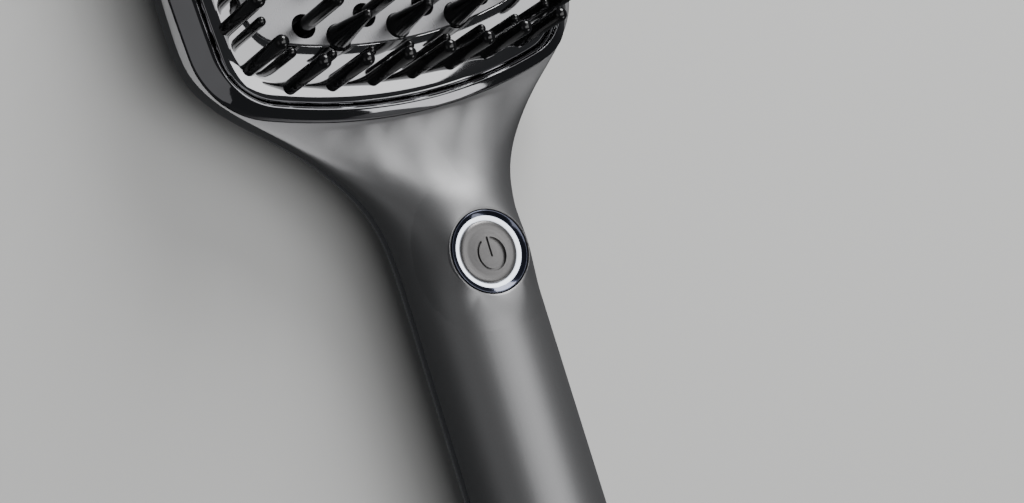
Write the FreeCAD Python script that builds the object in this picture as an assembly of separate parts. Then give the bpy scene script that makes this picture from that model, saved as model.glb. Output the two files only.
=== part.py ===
"""Steam hair straightener brush: a round handle that flares into a wide head, modelled in millimetres.

The brush lies on its back. +Z points out of the bristles, +Y runs from the handle to the head's far
end and X is across. The origin is on the ground, under the middle of the bounding box.
"""
import FreeCAD, Part
import math
import os
from FreeCAD import Vector

# ---------------------------------------------------------------------------------------------
# Driving dimensions. Heights called "level" are measured from the handle's axis.
# ---------------------------------------------------------------------------------------------
handle_radius = 13.4
handle_length = 119.0          # power button's centre to the open end of the two shells
wall = 2.0                     # thickness of the two housing shells

head_half_width = 45.0
head_depth = 17.2              # handle axis down to the flat back
belly_depth = 18.4             # the belly's curve before its flat back is taken off
belly_fullness = 0.75          # 0.55 is an ellipse, more is boxier
boxy_start = 14.0              # button centre to where the belly starts to turn boxy
crown = 0.6                    # height of the housing's top edge above the axis level, in the head
neck_start = 2.0               # button centre to where the handle starts to widen
neck_length = 60.0             # length over which it widens into the head
shoulder_start = 30.0          # where the flare starts to follow the head's own near corners
shoulder_length = 16.0
fall_start = 4.0               # button centre to where the top starts to fall to the head
fall_length = 32.0
far_end_roundness = 2.6        # side shape of the head's far end
far_end_close = 0.97           # how nearly the belly closes there
corner_fullness = 1.0          # how far the far corners' poles stand out of the arc they draw
belly_end_gap = 28.0           # head's far end to where the belly starts to rise

seam_level_handle = -0.8       # parting line between the front and back shells
seam_level_head = -7.0
seam_fall_start = 14.0
seam_fall_end = 50.0

button_to_lip = 31.5           # button centre to the rim's near edge
lip_length = 108.0
lip_inset = 0.8                # housing outline to the rim's outer edge
lip_level = 0.3
lip_corner = 16.0
side_bow = 600.0               # radius of the head's gently bowed sides
end_bow = 108.0                # radius of its bowed ends

seat_depth = 2.1               # how far the rim's skirt goes down into the housing
seat_ledge = 1.6
seat_thickness = 1.2
seat_collar = 1.4
rim_gap = 0.12

crest_rise = 3.6               # lip to the rim's crisp crest
crest_side_inset = 3.6
crest_end_inset = 1.9
crest_corner = 13.0
rim_inner_width = 1.2          # crest to the foot of its hollow inner slope
rim_inner_drop = 1.4

tray_gap = 0.15
tray_thickness = 1.6
tray_skirt = 1.4
tray_rise = 1.5                # rim's foot to the tray's flat top
tray_round = 0.8
tray_bevel = 0.24              # middle of the round, from each of its faces

plate_side_inset = 11.9        # rim's outer edge to the plate's opening
plate_end_inset = 14.6
plate_corner = 8.0
plate_gap = 0.25
plate_thickness = 3.0
plate_proud = 0.3
plate_flange = 0.8
plate_flange_thickness = 0.6
plate_frame_inset = 0.6        # inner wall of the frame that carries the plate
plate_hole_clearance = 0.6

tooth_base_radius = 2.5
tooth_tip_radius = 0.9
tooth_length = 15.0
repeat_sides = 10              # flats of each tooth and bristle
fastener_sides = 8
ring_sides = 36                # flats of the button's rings and the end cap
spout_sides = 24
tooth_edge_inset = 5.5         # plate's edge to the outer column of teeth
lattice_pitch_y = 12.2
tooth_rows = 7
tooth_columns = 5
plate_bristle_shift = -2.8     # along Y, from midway between two rows of teeth

tip_level = 22.4               # ends of the tall bristles
bristle_radius = 1.65
bristle_count = 34
bristle_side_inset = 7.8       # rim's outer edge to the row of tall bristles
bristle_end_inset = 7.7
bristle_corner = 12.0
bristle_bow = 200.0            # the rows are straighter than the rim
short_tip_level = 14.6
short_bristle_radius = 1.05
short_side_inset = 10.4
short_end_inset = 11.0
short_corner = 9.0

button_pad_drop = 0.95         # handle's crest down to the flat pad round the button
button_pad_radius = 8.75
button_pad_foot_radius = 11.3
button_pad_dish = 4.6
button_pad_dish_rise = 1.0
bezel_radius = 8.6
bezel_wall = 1.05
bezel_height = 4.5
bezel_proud = 0.15
bezel_flange = 0.6
bezel_flange_thickness = 1.15
bezel_ledge = 0.95             # the inner step that carries the light ring
bezel_ledge_thickness = 1.8
light_ring_fit = 0.05
light_ring_drop = 0.45         # its top below the bezel's
button_radius = 6.25
button_drop = 0.35
button_flange = 0.95
button_flange_thickness = 0.9
button_travel = 0.6
button_stem_radius = 2.0
plunger_radius = 1.6
plunger_length = 1.4
slide_clearance = 0.08

board_drop = 11.2              # handle's crest down to the board's back
board_thickness = 1.2
board_side_gap = 2.2           # housing's inner side to the board's edge
board_behind = 46.0            # button centre to the board's two ends
board_ahead = 12.0
board_post_radius = 1.8
board_post_end_inset = 5.0
board_post_side_inset = 3.0
switch_size = 6.4
switch_height = 2.2

tank_half_width = 21.0
tank_length = 62.0
tank_corner = 6.0
tank_near_gap = 20.5           # lip's near edge to the tank
tank_clearance = 0.3
tank_floor_relief = 0.2        # the tank's back stays this far above the ground
tank_cover_level = -14.6
tank_top_level = -7.5
tank_wall = 1.3
bay_wall = 1.4
spout_radius = 3.0
spout_height = 3.2
spout_bore = 1.6
spout_from_edge = 8.5
seal_width = 1.5
seal_thickness = 1.6
socket_wall = 1.2
filler_radius = 3.6
filler_from_edge = 14.0
plug_head_radius = 6.2
plug_head_thickness = 1.2
plug_length = 2.2
plug_gap = 0.2
grip_radius = 5.0              # finger notch in the tank's cover
grip_width = 14.0
grip_depth = 1.4

chassis_level = -5.6
chassis_thickness = 1.4
chassis_side_inset = 4.2
chassis_end_inset = 7.0
chassis_corner = 11.0
chassis_gap = 0.3              # round what passes through it
steam_chamber_height = 2.5
steam_side_inset = 8.3         # plate's edge to the chamber's side
steam_near_gap = 16.0          # tank's near edge to the chamber
steam_far_gap = 2.0
steam_corner = 5.0
steam_skin = 0.8
steam_margin = 4.0
steam_rib = 1.4
steam_channels = 5
bed_thickness = 1.4
bed_side_inset = 8.0
bed_end_inset = 3.0
heater_width = 7.6
heater_margin = 9.0
heater_strips = 3

pump_level = -12.4
pump_near_gap = 3.0            # lip's near edge to the pump
pump_length = 12.0
pump_half_width = 10.0
pump_height = 7.6
coil_length = 9.0
coil_side = 4.0
port_side = 6.0                # the two hoses run this far off the middle
port_from_edge = 5.0
port_collar_radius = 2.0
port_collar_height = 0.5
hose_radius = 1.15
hose_fit = 0.05

screw_radius = 1.4
screw_head_radius = 2.5
screw_head_height = 1.8
screw_hole_clearance = 0.15
screw_seat_clearance = 0.2
pilot_extra = 0.2
boss_radius = 4.0
post_radius = 2.4
post_gap = 0.15                # tray posts to the plate's frame
head_screw_end_inset = 27.0
head_screw_seat_level = -11.4
head_screw_tip_level = -0.8
handle_screw_seat_level = -9.6
handle_screw_tip_level = 6.0
handle_screw_from_board = 10.0
handle_screw_from_end = 19.0

end_cap_length = 3.0
end_cap_face = 4.5             # thickness of the face the gland turns in
end_cap_step = 0.05
end_cap_spigot = 5.0
end_cap_spigot_wall = 1.6
gland_length = 12.0
gland_shaft_radius = 4.6
gland_collar_radius = 7.4
gland_collar_length = 4.0
gland_tip_radius = 5.0
gland_taper = 1.2
gland_bore_radius = 2.9
gland_retainer_radius = 6.4
gland_retainer_thickness = 1.4
running_clearance = 0.05
overcut = 0.1                  # reach of a cutting tool past the face it opens
end_play = 0.15

# ---------------------------------------------------------------------------------------------
# Positions worked out from them
# ---------------------------------------------------------------------------------------------
head_reach = button_to_lip + lip_length + lip_inset
tail_reach = handle_length + end_cap_length + gland_length
overall_length = head_reach + tail_reach
button_y = overall_length / 2 - head_reach
axis_z = head_depth
far_away = overall_length      # beyond the whole brush, for cutting tools

shell_end_y = button_y - handle_length
lip_near_y = button_y + button_to_lip
lip_far_y = lip_near_y + lip_length
head_mid_y = (lip_near_y + lip_far_y) / 2
head_near_y = lip_near_y - lip_inset
head_far_y = lip_far_y + lip_inset
lip_half_width = head_half_width - lip_inset
plate_half_width = lip_half_width - plate_side_inset
lattice_pitch_x = (plate_half_width - tooth_edge_inset) * 2 / (tooth_columns - 1)
belly_end_y = head_far_y - belly_end_gap

lip_z = axis_z + lip_level
seat_z = lip_z - seat_depth
crest_z = lip_z + crest_rise
tray_edge_z = crest_z - rim_inner_drop
tray_low_z = tray_edge_z - tray_skirt
tray_top_z = tray_edge_z + tray_rise
plate_top_z = tray_top_z + plate_proud
plate_under_z = plate_top_z - plate_thickness
tip_z = axis_z + tip_level
short_tip_z = axis_z + short_tip_level

chassis_z = axis_z + chassis_level
chassis_top_z = chassis_z + chassis_thickness
steam_top_z = chassis_top_z + steam_chamber_height
bed_top_z = steam_top_z + bed_thickness

tank_near_y = lip_near_y + tank_near_gap
tank_far_y = tank_near_y + tank_length
tank_cover_z = axis_z + tank_cover_level
tank_top_z = axis_z + tank_top_level
bay_floor_z = tank_top_z + tank_clearance
spout_side = port_side
spout_y = tank_near_y + spout_from_edge
seal_radius = spout_radius + seal_width
seal_z = bay_floor_z + spout_height - seal_thickness
socket_radius = seal_radius + socket_wall
filler_y = tank_far_y - filler_from_edge
steam_half_width = plate_half_width - steam_side_inset
steam_near_y = tank_near_y + steam_near_gap
steam_far_y = tank_far_y - steam_far_gap

pump_z = axis_z + pump_level
pump_top_z = pump_z + pump_height
pump_near_y = lip_near_y + pump_near_gap
pump_far_y = pump_near_y + pump_length
port_y = pump_near_y + port_from_edge
hose_run_z = chassis_top_z + hose_radius + hose_fit

pad_z = axis_z + handle_radius - button_pad_drop
bezel_top_z = pad_z + bezel_proud
bezel_low_z = bezel_top_z - bezel_height
bezel_shoulder_z = bezel_low_z + bezel_flange_thickness
bezel_inner_radius = bezel_radius - bezel_wall
bezel_ledge_radius = bezel_inner_radius - bezel_ledge
ledge_z = bezel_low_z + bezel_ledge_thickness
light_ring_radius = bezel_inner_radius - light_ring_fit
light_ring_bore = button_radius + slide_clearance
light_ring_top_z = bezel_top_z - light_ring_drop
cap_top_z = bezel_top_z - button_drop
cap_flange_top_z = bezel_low_z - end_play
cap_flange_z = cap_flange_top_z - button_flange_thickness
board_z = axis_z + handle_radius - board_drop
board_half_width = handle_radius - wall - board_side_gap
board_top_z = board_z + board_thickness
board_near_y = button_y - board_behind
board_far_y = button_y + board_ahead
switch_top_z = board_top_z + switch_height
stem_z = switch_top_z + button_travel + end_play

head_screw_side = plate_half_width + plate_flange + post_gap + post_radius
head_screws = [(side * head_screw_side, y) for side in (-1, 1)
               for y in (lip_near_y + head_screw_end_inset, lip_far_y - head_screw_end_inset)]
handle_screws = [(0.0, board_near_y - handle_screw_from_board), (0.0, shell_end_y + handle_screw_from_end)]

cap_outer_y = shell_end_y - end_cap_length
cap_inner_y = cap_outer_y + end_cap_face


# ---------------------------------------------------------------------------------------------
# Small tools
# ---------------------------------------------------------------------------------------------
def save(shape, node):
    """Write one sub-part as STEP."""
    shape.removeSplitter().exportStep("parts/" + node + ".step")


def rod(radius, low_z, high_z, x=0.0, y=0.0):
    """Upright round bar between two heights."""
    return Part.makeCylinder(radius, high_z - low_z, Vector(x, y, low_z))


def polygon(radius, sides, z, x=0.0, y=0.0):
    """Regular many-sided flat outline with its corners at the given radius."""
    turns = [2 * math.pi * (index + 0.5) / sides for index in range(sides)]
    corners = [Vector(x + radius * math.cos(turn), y + radius * math.sin(turn), z) for turn in turns]
    return Part.makePolygon(corners + corners[:1])


def faceted_rod(radius, low_z, high_z, x, y, sides):
    """Upright many-sided bar, for small things that repeat."""
    return Part.Face(polygon(radius, sides, low_z, x, y)).extrude(Vector(0, 0, high_z - low_z))


def ring(outer_radius, inner_radius, low_z, high_z, x, y, sides):
    """Upright many-sided ring."""
    outer = faceted_rod(outer_radius, low_z, high_z, x, y, sides)
    return outer.cut(faceted_rod(inner_radius, low_z - 1, high_z + 1, x, y, sides))


def block(low_x, high_x, low_y, high_y, low_z, high_z):
    """Box between three pairs of limits."""
    return Part.makeBox(high_x - low_x, high_y - low_y, high_z - low_z, Vector(low_x, low_y, low_z))


def stack(steps, x, y, sides):
    """Upright many-sided steps fused in one, from (radius, low height, high height)."""
    parts = [faceted_rod(radius, low_z, high_z, x, y, sides) for radius, low_z, high_z in steps]
    return parts[0].fuse(parts[1:])


def turned(profile, x, y):
    """Solid of revolution about the upright line at (x, y), from (radius, height) corners."""
    corners = [Vector(x + radius, y, height) for radius, height in profile]
    face = Part.Face(Part.makePolygon(corners + corners[:1]))
    return face.revolve(Vector(x, y, 0), Vector(0, 0, 1), 360)


def along_handle(steps, sides):
    """Many-sided steps along the handle's axis fused in one, from (radius, start y, end y)."""
    parts = []
    for radius, start_y, end_y in steps:
        part = faceted_rod(radius, start_y, end_y, 0, 0, sides)
        part.rotate(Vector(0, 0, 0), Vector(1, 0, 0), -90)
        part.translate(Vector(0, 0, axis_z))
        parts.append(part)
    return parts[0].fuse(parts[1:]) if len(parts) > 1 else parts[0]


def round_along_handle(radius, start_y, end_y):
    """Round bar along the handle's axis."""
    return Part.makeCylinder(radius, end_y - start_y, Vector(0, start_y, axis_z), Vector(0, 1, 0))


def prism(outline, low_z, high_z):
    """Upright solid over a flat outline."""
    face = Part.Face(outline)
    face.translate(Vector(0, 0, low_z - outline.BoundBox.ZMin))
    return face.extrude(Vector(0, 0, high_z - low_z))


def loft(wires, ruled=False):
    """Solid through a row of closed outlines."""
    return Part.makeLoft(wires, True, ruled)


def rounded_rectangle(half_width, near_y, far_y, corner):
    """Flat outline with four equal round corners, centred on X = 0."""
    diagonal = corner * (1 - math.sqrt(0.5))
    arcs = []
    quarters = ((-half_width, near_y, 1, 1), (half_width, near_y, -1, 1),
                (half_width, far_y, -1, -1), (-half_width, far_y, 1, -1))
    for index, (x, y, to_x, to_y) in enumerate(quarters):
        along_x = Vector(x + to_x * corner, y, 0)
        along_y = Vector(x, y + to_y * corner, 0)
        middle = Vector(x + to_x * diagonal, y + to_y * diagonal, 0)
        arcs.append((along_y, middle, along_x) if index % 2 == 0 else (along_x, middle, along_y))
    edges = []
    for index, arc in enumerate(arcs):
        edges.append(Part.Arc(*arc).toShape())
        edges.append(Part.makeLine(arc[2], arcs[(index + 1) % 4][0]))
    return Part.Wire(edges)


def head_outline(half_width, end_inset, corner, z=0.0, bow=end_bow):
    """Plan outline of the head: bowed sides, bowed ends and round corners, all arcs meeting smoothly."""
    near_y = lip_near_y + end_inset
    side_radius = side_bow - (lip_half_width - half_width)
    end_radius = bow - end_inset
    side_centre = Vector(half_width - side_radius, head_mid_y, z)
    end_centre = Vector(0, near_y + end_radius, z)
    to_side = side_radius - corner
    to_end = end_radius - corner
    between = end_centre - side_centre
    gap = between.Length
    along = (to_side ** 2 - to_end ** 2 + gap ** 2) / (2 * gap)
    across = math.sqrt(to_side ** 2 - along ** 2)
    direction = between * (1 / gap)
    sideways = Vector(direction.y, -direction.x, 0)
    centre = side_centre + direction * along + sideways * across
    if centre.y > head_mid_y or centre.x < 0:
        centre = side_centre + direction * along - sideways * across
    on_side = side_centre + (centre - side_centre) * (side_radius / to_side)
    on_end = end_centre + (centre - end_centre) * (end_radius / to_end)
    outward = (on_side - centre) + (on_end - centre)
    on_corner = centre + outward * (corner / outward.Length)
    near = Vector(0, near_y, z)
    side = Vector(half_width, head_mid_y, z)

    def arc(points, flip_x, flip_y):
        """Arc through three points, in another quarter of the outline."""
        moved = []
        for point in points:
            x = -point.x if flip_x else point.x
            y = 2 * head_mid_y - point.y if flip_y else point.y
            moved.append(Vector(x, y, z))
        return Part.Arc(*moved).toShape()

    opposite_end = Vector(-on_end.x, on_end.y, z)
    opposite_side = Vector(on_side.x, 2 * head_mid_y - on_side.y, z)
    edges = []
    for turned_round in (False, True):
        edges.append(arc((opposite_end, near, on_end), turned_round, turned_round))
        edges.append(arc((on_end, on_corner, on_side), turned_round, turned_round))
        edges.append(arc((on_side, side, opposite_side), turned_round, turned_round))
        edges.append(arc((on_side, on_corner, on_end), turned_round, not turned_round))
    return Part.Wire(edges)


# ---------------------------------------------------------------------------------------------
# Housing form: sections along Y, round in the handle and wide and flat-topped in the head
# ---------------------------------------------------------------------------------------------
round_reach = 0.585786         # reach and weight of a quarter's handles that draw a true ellipse
round_weight = 0.804738
flare_row_pitch = 8.0
cavity_row_pitch = 10.0
cavity_steps = 4               # flats of the cavity's section, per quarter


def ease(share):
    """Smooth step from 0 to 1."""
    share = min(max(share, 0.0), 1.0)
    return share ** 3 * (10 - 15 * share + 6 * share ** 2)


def corner_arc(inset):
    """Radius, centre's X and bow rise of the housing's plan corners, drawn inset."""
    radius = lip_corner + lip_inset - inset
    centre_x = head_half_width - inset - radius
    return radius, centre_x, end_bow - math.sqrt(end_bow ** 2 - centre_x ** 2)


def plan_half_width(y, inset):
    """Half width of the housing: the flare, which turns into the head's own near corners."""
    from_button = y - button_y
    flare_share = ease((from_button - neck_start) / neck_length)
    flare = handle_radius + (head_half_width - handle_radius) * flare_share
    radius, centre_x, bow_rise = corner_arc(inset)
    below_centre = min(max(head_near_y + inset + bow_rise + radius - y, 0.0), radius)
    corner_half_width = centre_x + math.sqrt(radius ** 2 - below_centre ** 2)
    head_share = ease((from_button - shoulder_start) / shoulder_length)
    return (flare - inset) * (1 - head_share) + corner_half_width * head_share


def quarter_poles(y, start, end, boxiness):
    """Bezier poles and handle weight of a quarter section, from (x, height) on one axis to the next."""
    reach = round_reach + (belly_fullness - round_reach) * boxiness
    weight = round_weight + (1 - round_weight) * boxiness
    corner = (start[0] + end[0], start[1] + end[1])
    first = [a + (c - a) * reach for a, c in zip(start, corner)]
    second = [b + (c - b) * reach for b, c in zip(end, corner)]
    return [Vector(x, y, axis_z + height) for x, height in (start, first, second, end)], weight


def section_quarters(y, inset, half_width):
    """Four quarters of the housing's section at y, drawn inset from its outer face."""
    from_button = y - button_y
    spread = ease((from_button - neck_start) / neck_length)
    boxiness = ease((from_button - boxy_start) / (neck_start + neck_length - boxy_start))
    fall = ease((from_button - fall_start) / fall_length)
    height = max(handle_radius + (crown - handle_radius) * fall - inset, crown / 3)
    to_end = far_end_close * max(0.0, y - belly_end_y) / (head_far_y - inset - belly_end_y)
    belly_share = (1 - to_end ** far_end_roundness) ** (1 / far_end_roundness)
    depth = (handle_radius + (belly_depth - handle_radius) * spread - inset) * belly_share
    right, top, left, bottom = (half_width, 0), (0, height), (-half_width, 0), (0, -depth)
    return [quarter_poles(y, right, top, 0), quarter_poles(y, top, left, 0),
            quarter_poles(y, left, bottom, boxiness), quarter_poles(y, bottom, right, boxiness)]


def far_end_rows(inset):
    """(y, half width) rows that turn the plan outline round the head's far corners and close it."""
    radius, centre_x, bow_rise = corner_arc(inset)
    end_y = head_far_y - inset
    centre_y = end_y - radius - bow_rise
    rows = [(centre_y - radius, head_half_width - inset)]
    for degrees in (0, 25, 50, 72):
        angle = math.radians(degrees)
        reach = radius + corner_fullness * math.sin(2 * angle)
        rows.append((centre_y + reach * math.sin(angle), centre_x + reach * math.cos(angle)))
    rows.append((end_y - bow_rise * 0.4, centre_x * 0.66))
    rows.append((end_y, centre_x * 0.3))
    return rows


def skin(rows):
    """Smooth surface drawn through rows of weighted poles: Bezier across, cubic along."""
    count = len(rows)
    poles = [[row[0][across] for row in rows] for across in range(4)]
    weights = [[1.0] * count, [row[1] for row in rows], [row[1] for row in rows], [1.0] * count]
    along_knots = list(range(count - 2))
    along_mults = [4] + [1] * (count - 4) + [4]
    surface = Part.BSplineSurface()
    surface.buildFromPolesMultsKnots(poles, [4, 4], along_mults, [0, 1], along_knots, False, False, 3, 3,
                                     weights)
    return surface.toShape()


def rows_from(start_y, end_y, pitch, inset):
    """(y, half width) rows between two places, about a pitch apart."""
    count = math.ceil((end_y - start_y) / pitch)
    places = [start_y + (end_y - start_y) * index / count for index in range(count + 1)]
    return [(y, plan_half_width(y, inset)) for y in places]


def quarter_edges(quarters):
    """Edges of one section."""
    edges = []
    for poles, weight in quarters:
        curve = Part.BezierCurve()
        curve.setPoles(poles)
        curve.setWeight(2, weight)
        curve.setWeight(3, weight)
        edges.append(curve.toShape())
    return edges


flare_start_y = button_y + neck_start - flare_row_pitch
flare_end_y = button_y + neck_start + neck_length + flare_row_pitch


def above(level_z, form):
    """What is left of a form over the level it lies on."""
    return form.cut(block(-far_away, far_away, -far_away, far_away, -far_away, level_z))


def make_outer_form():
    """Solid of the whole housing with its flat back: handle, flare, head and rounded far end."""
    flare = rows_from(flare_start_y, flare_end_y, flare_row_pitch, 0.0)
    far_end = far_end_rows(0.0)
    faces = []
    for stretch in (flare, far_end):
        sections = [section_quarters(y, 0.0, half_width) for y, half_width in stretch]
        faces += [skin([section[index] for section in sections]) for index in range(4)]
    y, half_width = flare[-1]
    for edge in quarter_edges(section_quarters(y, 0.0, half_width)):
        faces.append(edge.extrude(Vector(0, far_end[0][0] - y, 0)))
    for y, half_width in (flare[0], far_end[-1]):
        faces.append(Part.Face(Part.Wire(quarter_edges(section_quarters(y, 0.0, half_width)))))
    shell = Part.makeShell(faces)
    shell.sewShape()
    form = Part.makeSolid(shell)
    if form.Volume < 0:
        form.reverse()
    return above(0, form.fuse(round_along_handle(handle_radius, shell_end_y, flare_start_y)))


def make_cavity():
    """Hollow inside the housing, flat-faced, a wall inside the outer form."""
    rows = [(shell_end_y - 1, handle_radius - wall)]
    rows += rows_from(flare_start_y, flare_end_y, cavity_row_pitch, wall) + far_end_rows(wall)
    wires = []
    for y, half_width in rows:
        corners = []
        for edge in quarter_edges(section_quarters(y, wall, half_width)):
            corners += edge.discretize(Number=cavity_steps + 1)[:-1]
        wires.append(Part.makePolygon(corners + corners[:1]))
    return above(wall, loft(wires, ruled=True))


def above_seam():
    """Everything above the wavy parting surface between the two shells."""
    high = axis_z + seam_level_handle
    low = axis_z + seam_level_head
    bend_start = Vector(-far_away, button_y + seam_fall_start, high)
    bend_end = Vector(-far_away, button_y + seam_fall_end, low)
    bend = Part.BSplineCurve()
    level = Vector(0, 1, 0)
    bend.interpolate(Points=[bend_start, (bend_start + bend_end) * 0.5, bend_end],
                     InitialTangent=level, FinalTangent=level)
    corners = [bend_end, Vector(-far_away, far_away, low), Vector(-far_away, far_away, far_away)]
    corners += [Vector(-far_away, -far_away, far_away), Vector(-far_away, -far_away, high), bend_start]
    edges = [bend.toShape()] + [Part.makeLine(a, b) for a, b in zip(corners, corners[1:])]
    return Part.Face(Part.Wire(edges)).extrude(Vector(2 * far_away, 0, 0))


outer_form = make_outer_form()
cavity = make_cavity()
upper_region = above_seam()


# ---------------------------------------------------------------------------------------------
# Front shell: satin upper half, with the rim's seat and the pad round the button
# ---------------------------------------------------------------------------------------------
def lip_outline(inset, z=0.0):
    """Outline of the rim's outer edge, or one inside it."""
    return head_outline(lip_half_width - inset, inset, lip_corner - inset, z)


def make_front_shell():
    """Upper half of the housing."""
    foot_z = axis_z + math.sqrt(handle_radius ** 2 - button_pad_foot_radius ** 2)
    pad_profile = [(0, foot_z), (button_pad_foot_radius, foot_z), (button_pad_radius, pad_z), (0, pad_z)]
    dish_radius = button_pad_radius + button_pad_dish
    dish_profile = [(0, pad_z), (button_pad_radius, pad_z), (dish_radius, pad_z + button_pad_dish_rise),
                    (dish_radius, far_away), (0, far_away)]
    pad = turned(pad_profile, 0, button_y)
    dish = turned(dish_profile, 0, button_y)
    shell = outer_form.fuse(pad).cut(dish).cut(cavity).common(upper_region)

    collar = prism(lip_outline(-seat_collar), seat_z - seat_thickness, lip_z + seat_depth)
    collar = collar.common(outer_form).common(upper_region)
    collar = collar.cut(prism(lip_outline(seat_ledge), 0, far_away))
    shell = shell.fuse(collar).cut(prism(lip_outline(0), seat_z, far_away))

    posts = [faceted_rod(post_radius, axis_z, axis_z + handle_radius - wall / 2, x, y, fastener_sides)
             for x, y in handle_screws]
    pilot_top_z = axis_z + handle_screw_tip_level + pilot_extra
    pilots = [faceted_rod(screw_radius, 0, pilot_top_z, x, y, fastener_sides) for x, y in handle_screws]
    shell = shell.fuse(posts).cut(Part.makeCompound(pilots))
    hole_radius = bezel_radius + slide_clearance
    hole = stack([(hole_radius, 0, far_away), (hole_radius + bezel_flange, 0, bezel_shoulder_z)],
                 0, button_y, ring_sides)
    return shell.cut(hole)


# ---------------------------------------------------------------------------------------------
# Back shell: gloss lower half, with the tank's bay, screw bosses and inner supports
# ---------------------------------------------------------------------------------------------
def bay_outline(margin):
    """Tank footprint, grown by a margin."""
    return rounded_rectangle(tank_half_width + margin, tank_near_y - margin, tank_far_y + margin,
                             tank_corner + margin)


def make_back_shell():
    """Lower half of the housing."""
    shell = outer_form.cut(cavity).cut(upper_region)
    supports = [prism(bay_outline(tank_clearance + bay_wall), 0, bay_floor_z + bay_wall)]
    supports += [faceted_rod(boss_radius, 0, chassis_z, x, y, fastener_sides) for x, y in head_screws]
    supports += [faceted_rod(boss_radius, 0, axis_z, x, y, fastener_sides) for x, y in handle_screws]
    for y in (board_near_y + board_post_end_inset, board_far_y - board_post_end_inset):
        for side in (-1, 1):
            x = side * (board_half_width - board_post_side_inset)
            supports.append(faceted_rod(board_post_radius, 0, board_z, x, y, fastener_sides))
    supports.append(block(-pump_half_width, pump_half_width, pump_near_y, pump_far_y, 0, pump_z))
    shell = shell.fuse([support.common(outer_form) for support in supports])
    shell = shell.cut(prism(bay_outline(tank_clearance), -1, bay_floor_z))

    socket = faceted_rod(seal_radius, 0, seal_z + seal_thickness, spout_side, spout_y, spout_sides)
    socket_body = faceted_rod(socket_radius, bay_floor_z, steam_top_z - hose_fit, spout_side, spout_y,
                              spout_sides)
    cuts = []
    seats = ((head_screws, head_screw_seat_level), (handle_screws, handle_screw_seat_level))
    for spots, seat_level in seats:
        for x, y in spots:
            cuts.append(faceted_rod(screw_radius + screw_hole_clearance, 0, far_away, x, y, fastener_sides))
            cuts.append(faceted_rod(screw_head_radius + screw_seat_clearance, -1, axis_z + seat_level, x, y,
                                    repeat_sides))
    return shell.fuse(socket_body).cut(socket).cut(Part.makeCompound(cuts))


# ---------------------------------------------------------------------------------------------
# Rim: glossy frame with a sloped outer face, a crisp crest and a hollow inner slope
# ---------------------------------------------------------------------------------------------
def crest_outline(inset, z=0.0):
    """Outline of the rim's crest, or one inside it."""
    return head_outline(lip_half_width - crest_side_inset - inset, crest_end_inset + inset,
                        crest_corner - inset, z)


def make_rim():
    """Frame round the bristles."""
    skirt = prism(lip_outline(rim_gap), seat_z, lip_z)
    slope = loft([lip_outline(rim_gap, lip_z), crest_outline(0, crest_z)], ruled=True)
    hollow_steps = ((1.0, 0.0), (0.3, 0.45), (0.0, 1.0))
    hollow = loft([crest_outline(rim_inner_width * inward, tray_edge_z + rim_inner_drop * rise)
                   for inward, rise in hollow_steps], ruled=True)
    opening = prism(crest_outline(rim_inner_width), 0, tray_edge_z)
    return skirt.fuse(slope).cut(hollow).cut(opening)


# ---------------------------------------------------------------------------------------------
# Bristle tray: low platform inside the rim, open in the middle for the heated plate
# ---------------------------------------------------------------------------------------------
tray_edge_inset = rim_inner_width + tray_gap


def plate_outline(inset):
    """Opening of the tray, or an outline inside it."""
    return head_outline(plate_half_width - inset, plate_end_inset + inset, plate_corner - inset)


def tray_block():
    """Platform with a rounded shoulder."""
    shoulder_z = tray_top_z - tray_round
    body = prism(crest_outline(tray_edge_inset), tray_low_z, shoulder_z)
    shoulder = loft([crest_outline(tray_edge_inset, shoulder_z),
                     crest_outline(tray_edge_inset + tray_bevel, tray_top_z - tray_bevel),
                     crest_outline(tray_edge_inset + tray_round, tray_top_z)], ruled=True)
    return body.fuse(shoulder)


def make_tray():
    """Frame that carries the outer bristles."""
    hollow = prism(crest_outline(tray_edge_inset + tray_thickness), 0, tray_top_z - tray_thickness)
    tray = tray_block().cut(hollow).cut(prism(plate_outline(0), 0, far_away))
    posts = [faceted_rod(post_radius, chassis_top_z, tray_edge_z, x, y, fastener_sides)
             for x, y in head_screws]
    pilot_top_z = axis_z + head_screw_tip_level + pilot_extra
    pilots = [faceted_rod(screw_radius, 0, pilot_top_z, x, y, fastener_sides) for x, y in head_screws]
    return tray.fuse(posts).cut(Part.makeCompound(pilots))


# ---------------------------------------------------------------------------------------------
# Bristles: a tall and a short row round the plate, and tall ones through the plate
# ---------------------------------------------------------------------------------------------
def spots_along(outline, count, phase):
    """Evenly spaced points along a closed outline, starting at the middle of its near end."""
    points = outline.discretize(Number=2000)[:-1]
    near_points = [index for index, point in enumerate(points) if point.y < head_mid_y]
    start = min(near_points, key=lambda index: abs(points[index].x))
    step = len(points) / count
    chosen = [points[round(start + (index + phase) * step) % len(points)] for index in range(count)]
    return [(point.x, point.y) for point in chosen]


def make_bristles(radius, low_z, top_z, spots):
    """Row of upright bristles."""
    return Part.makeCompound([faceted_rod(radius, low_z, top_z, x, y, repeat_sides) for x, y in spots])


def tooth_spots():
    """Places of the conical teeth, leaving out the plate's corners."""
    spots = []
    for row in range(tooth_rows):
        for column in range(tooth_columns):
            if row in (0, tooth_rows - 1) and column in (0, tooth_columns - 1):
                continue
            x = (column - (tooth_columns - 1) / 2) * lattice_pitch_x
            y = head_mid_y + (row - (tooth_rows - 1) / 2) * lattice_pitch_y
            spots.append((x, y))
    return spots


def plate_bristle_spots():
    """Places of the tall bristles between the teeth."""
    spots = []
    for row in range(tooth_rows - 1):
        for column in range(tooth_columns - 1):
            x = (column - (tooth_columns - 2) / 2) * lattice_pitch_x
            y = head_mid_y + (row - (tooth_rows - 2) / 2) * lattice_pitch_y
            spots.append((x, y + plate_bristle_shift))
    return spots


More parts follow.
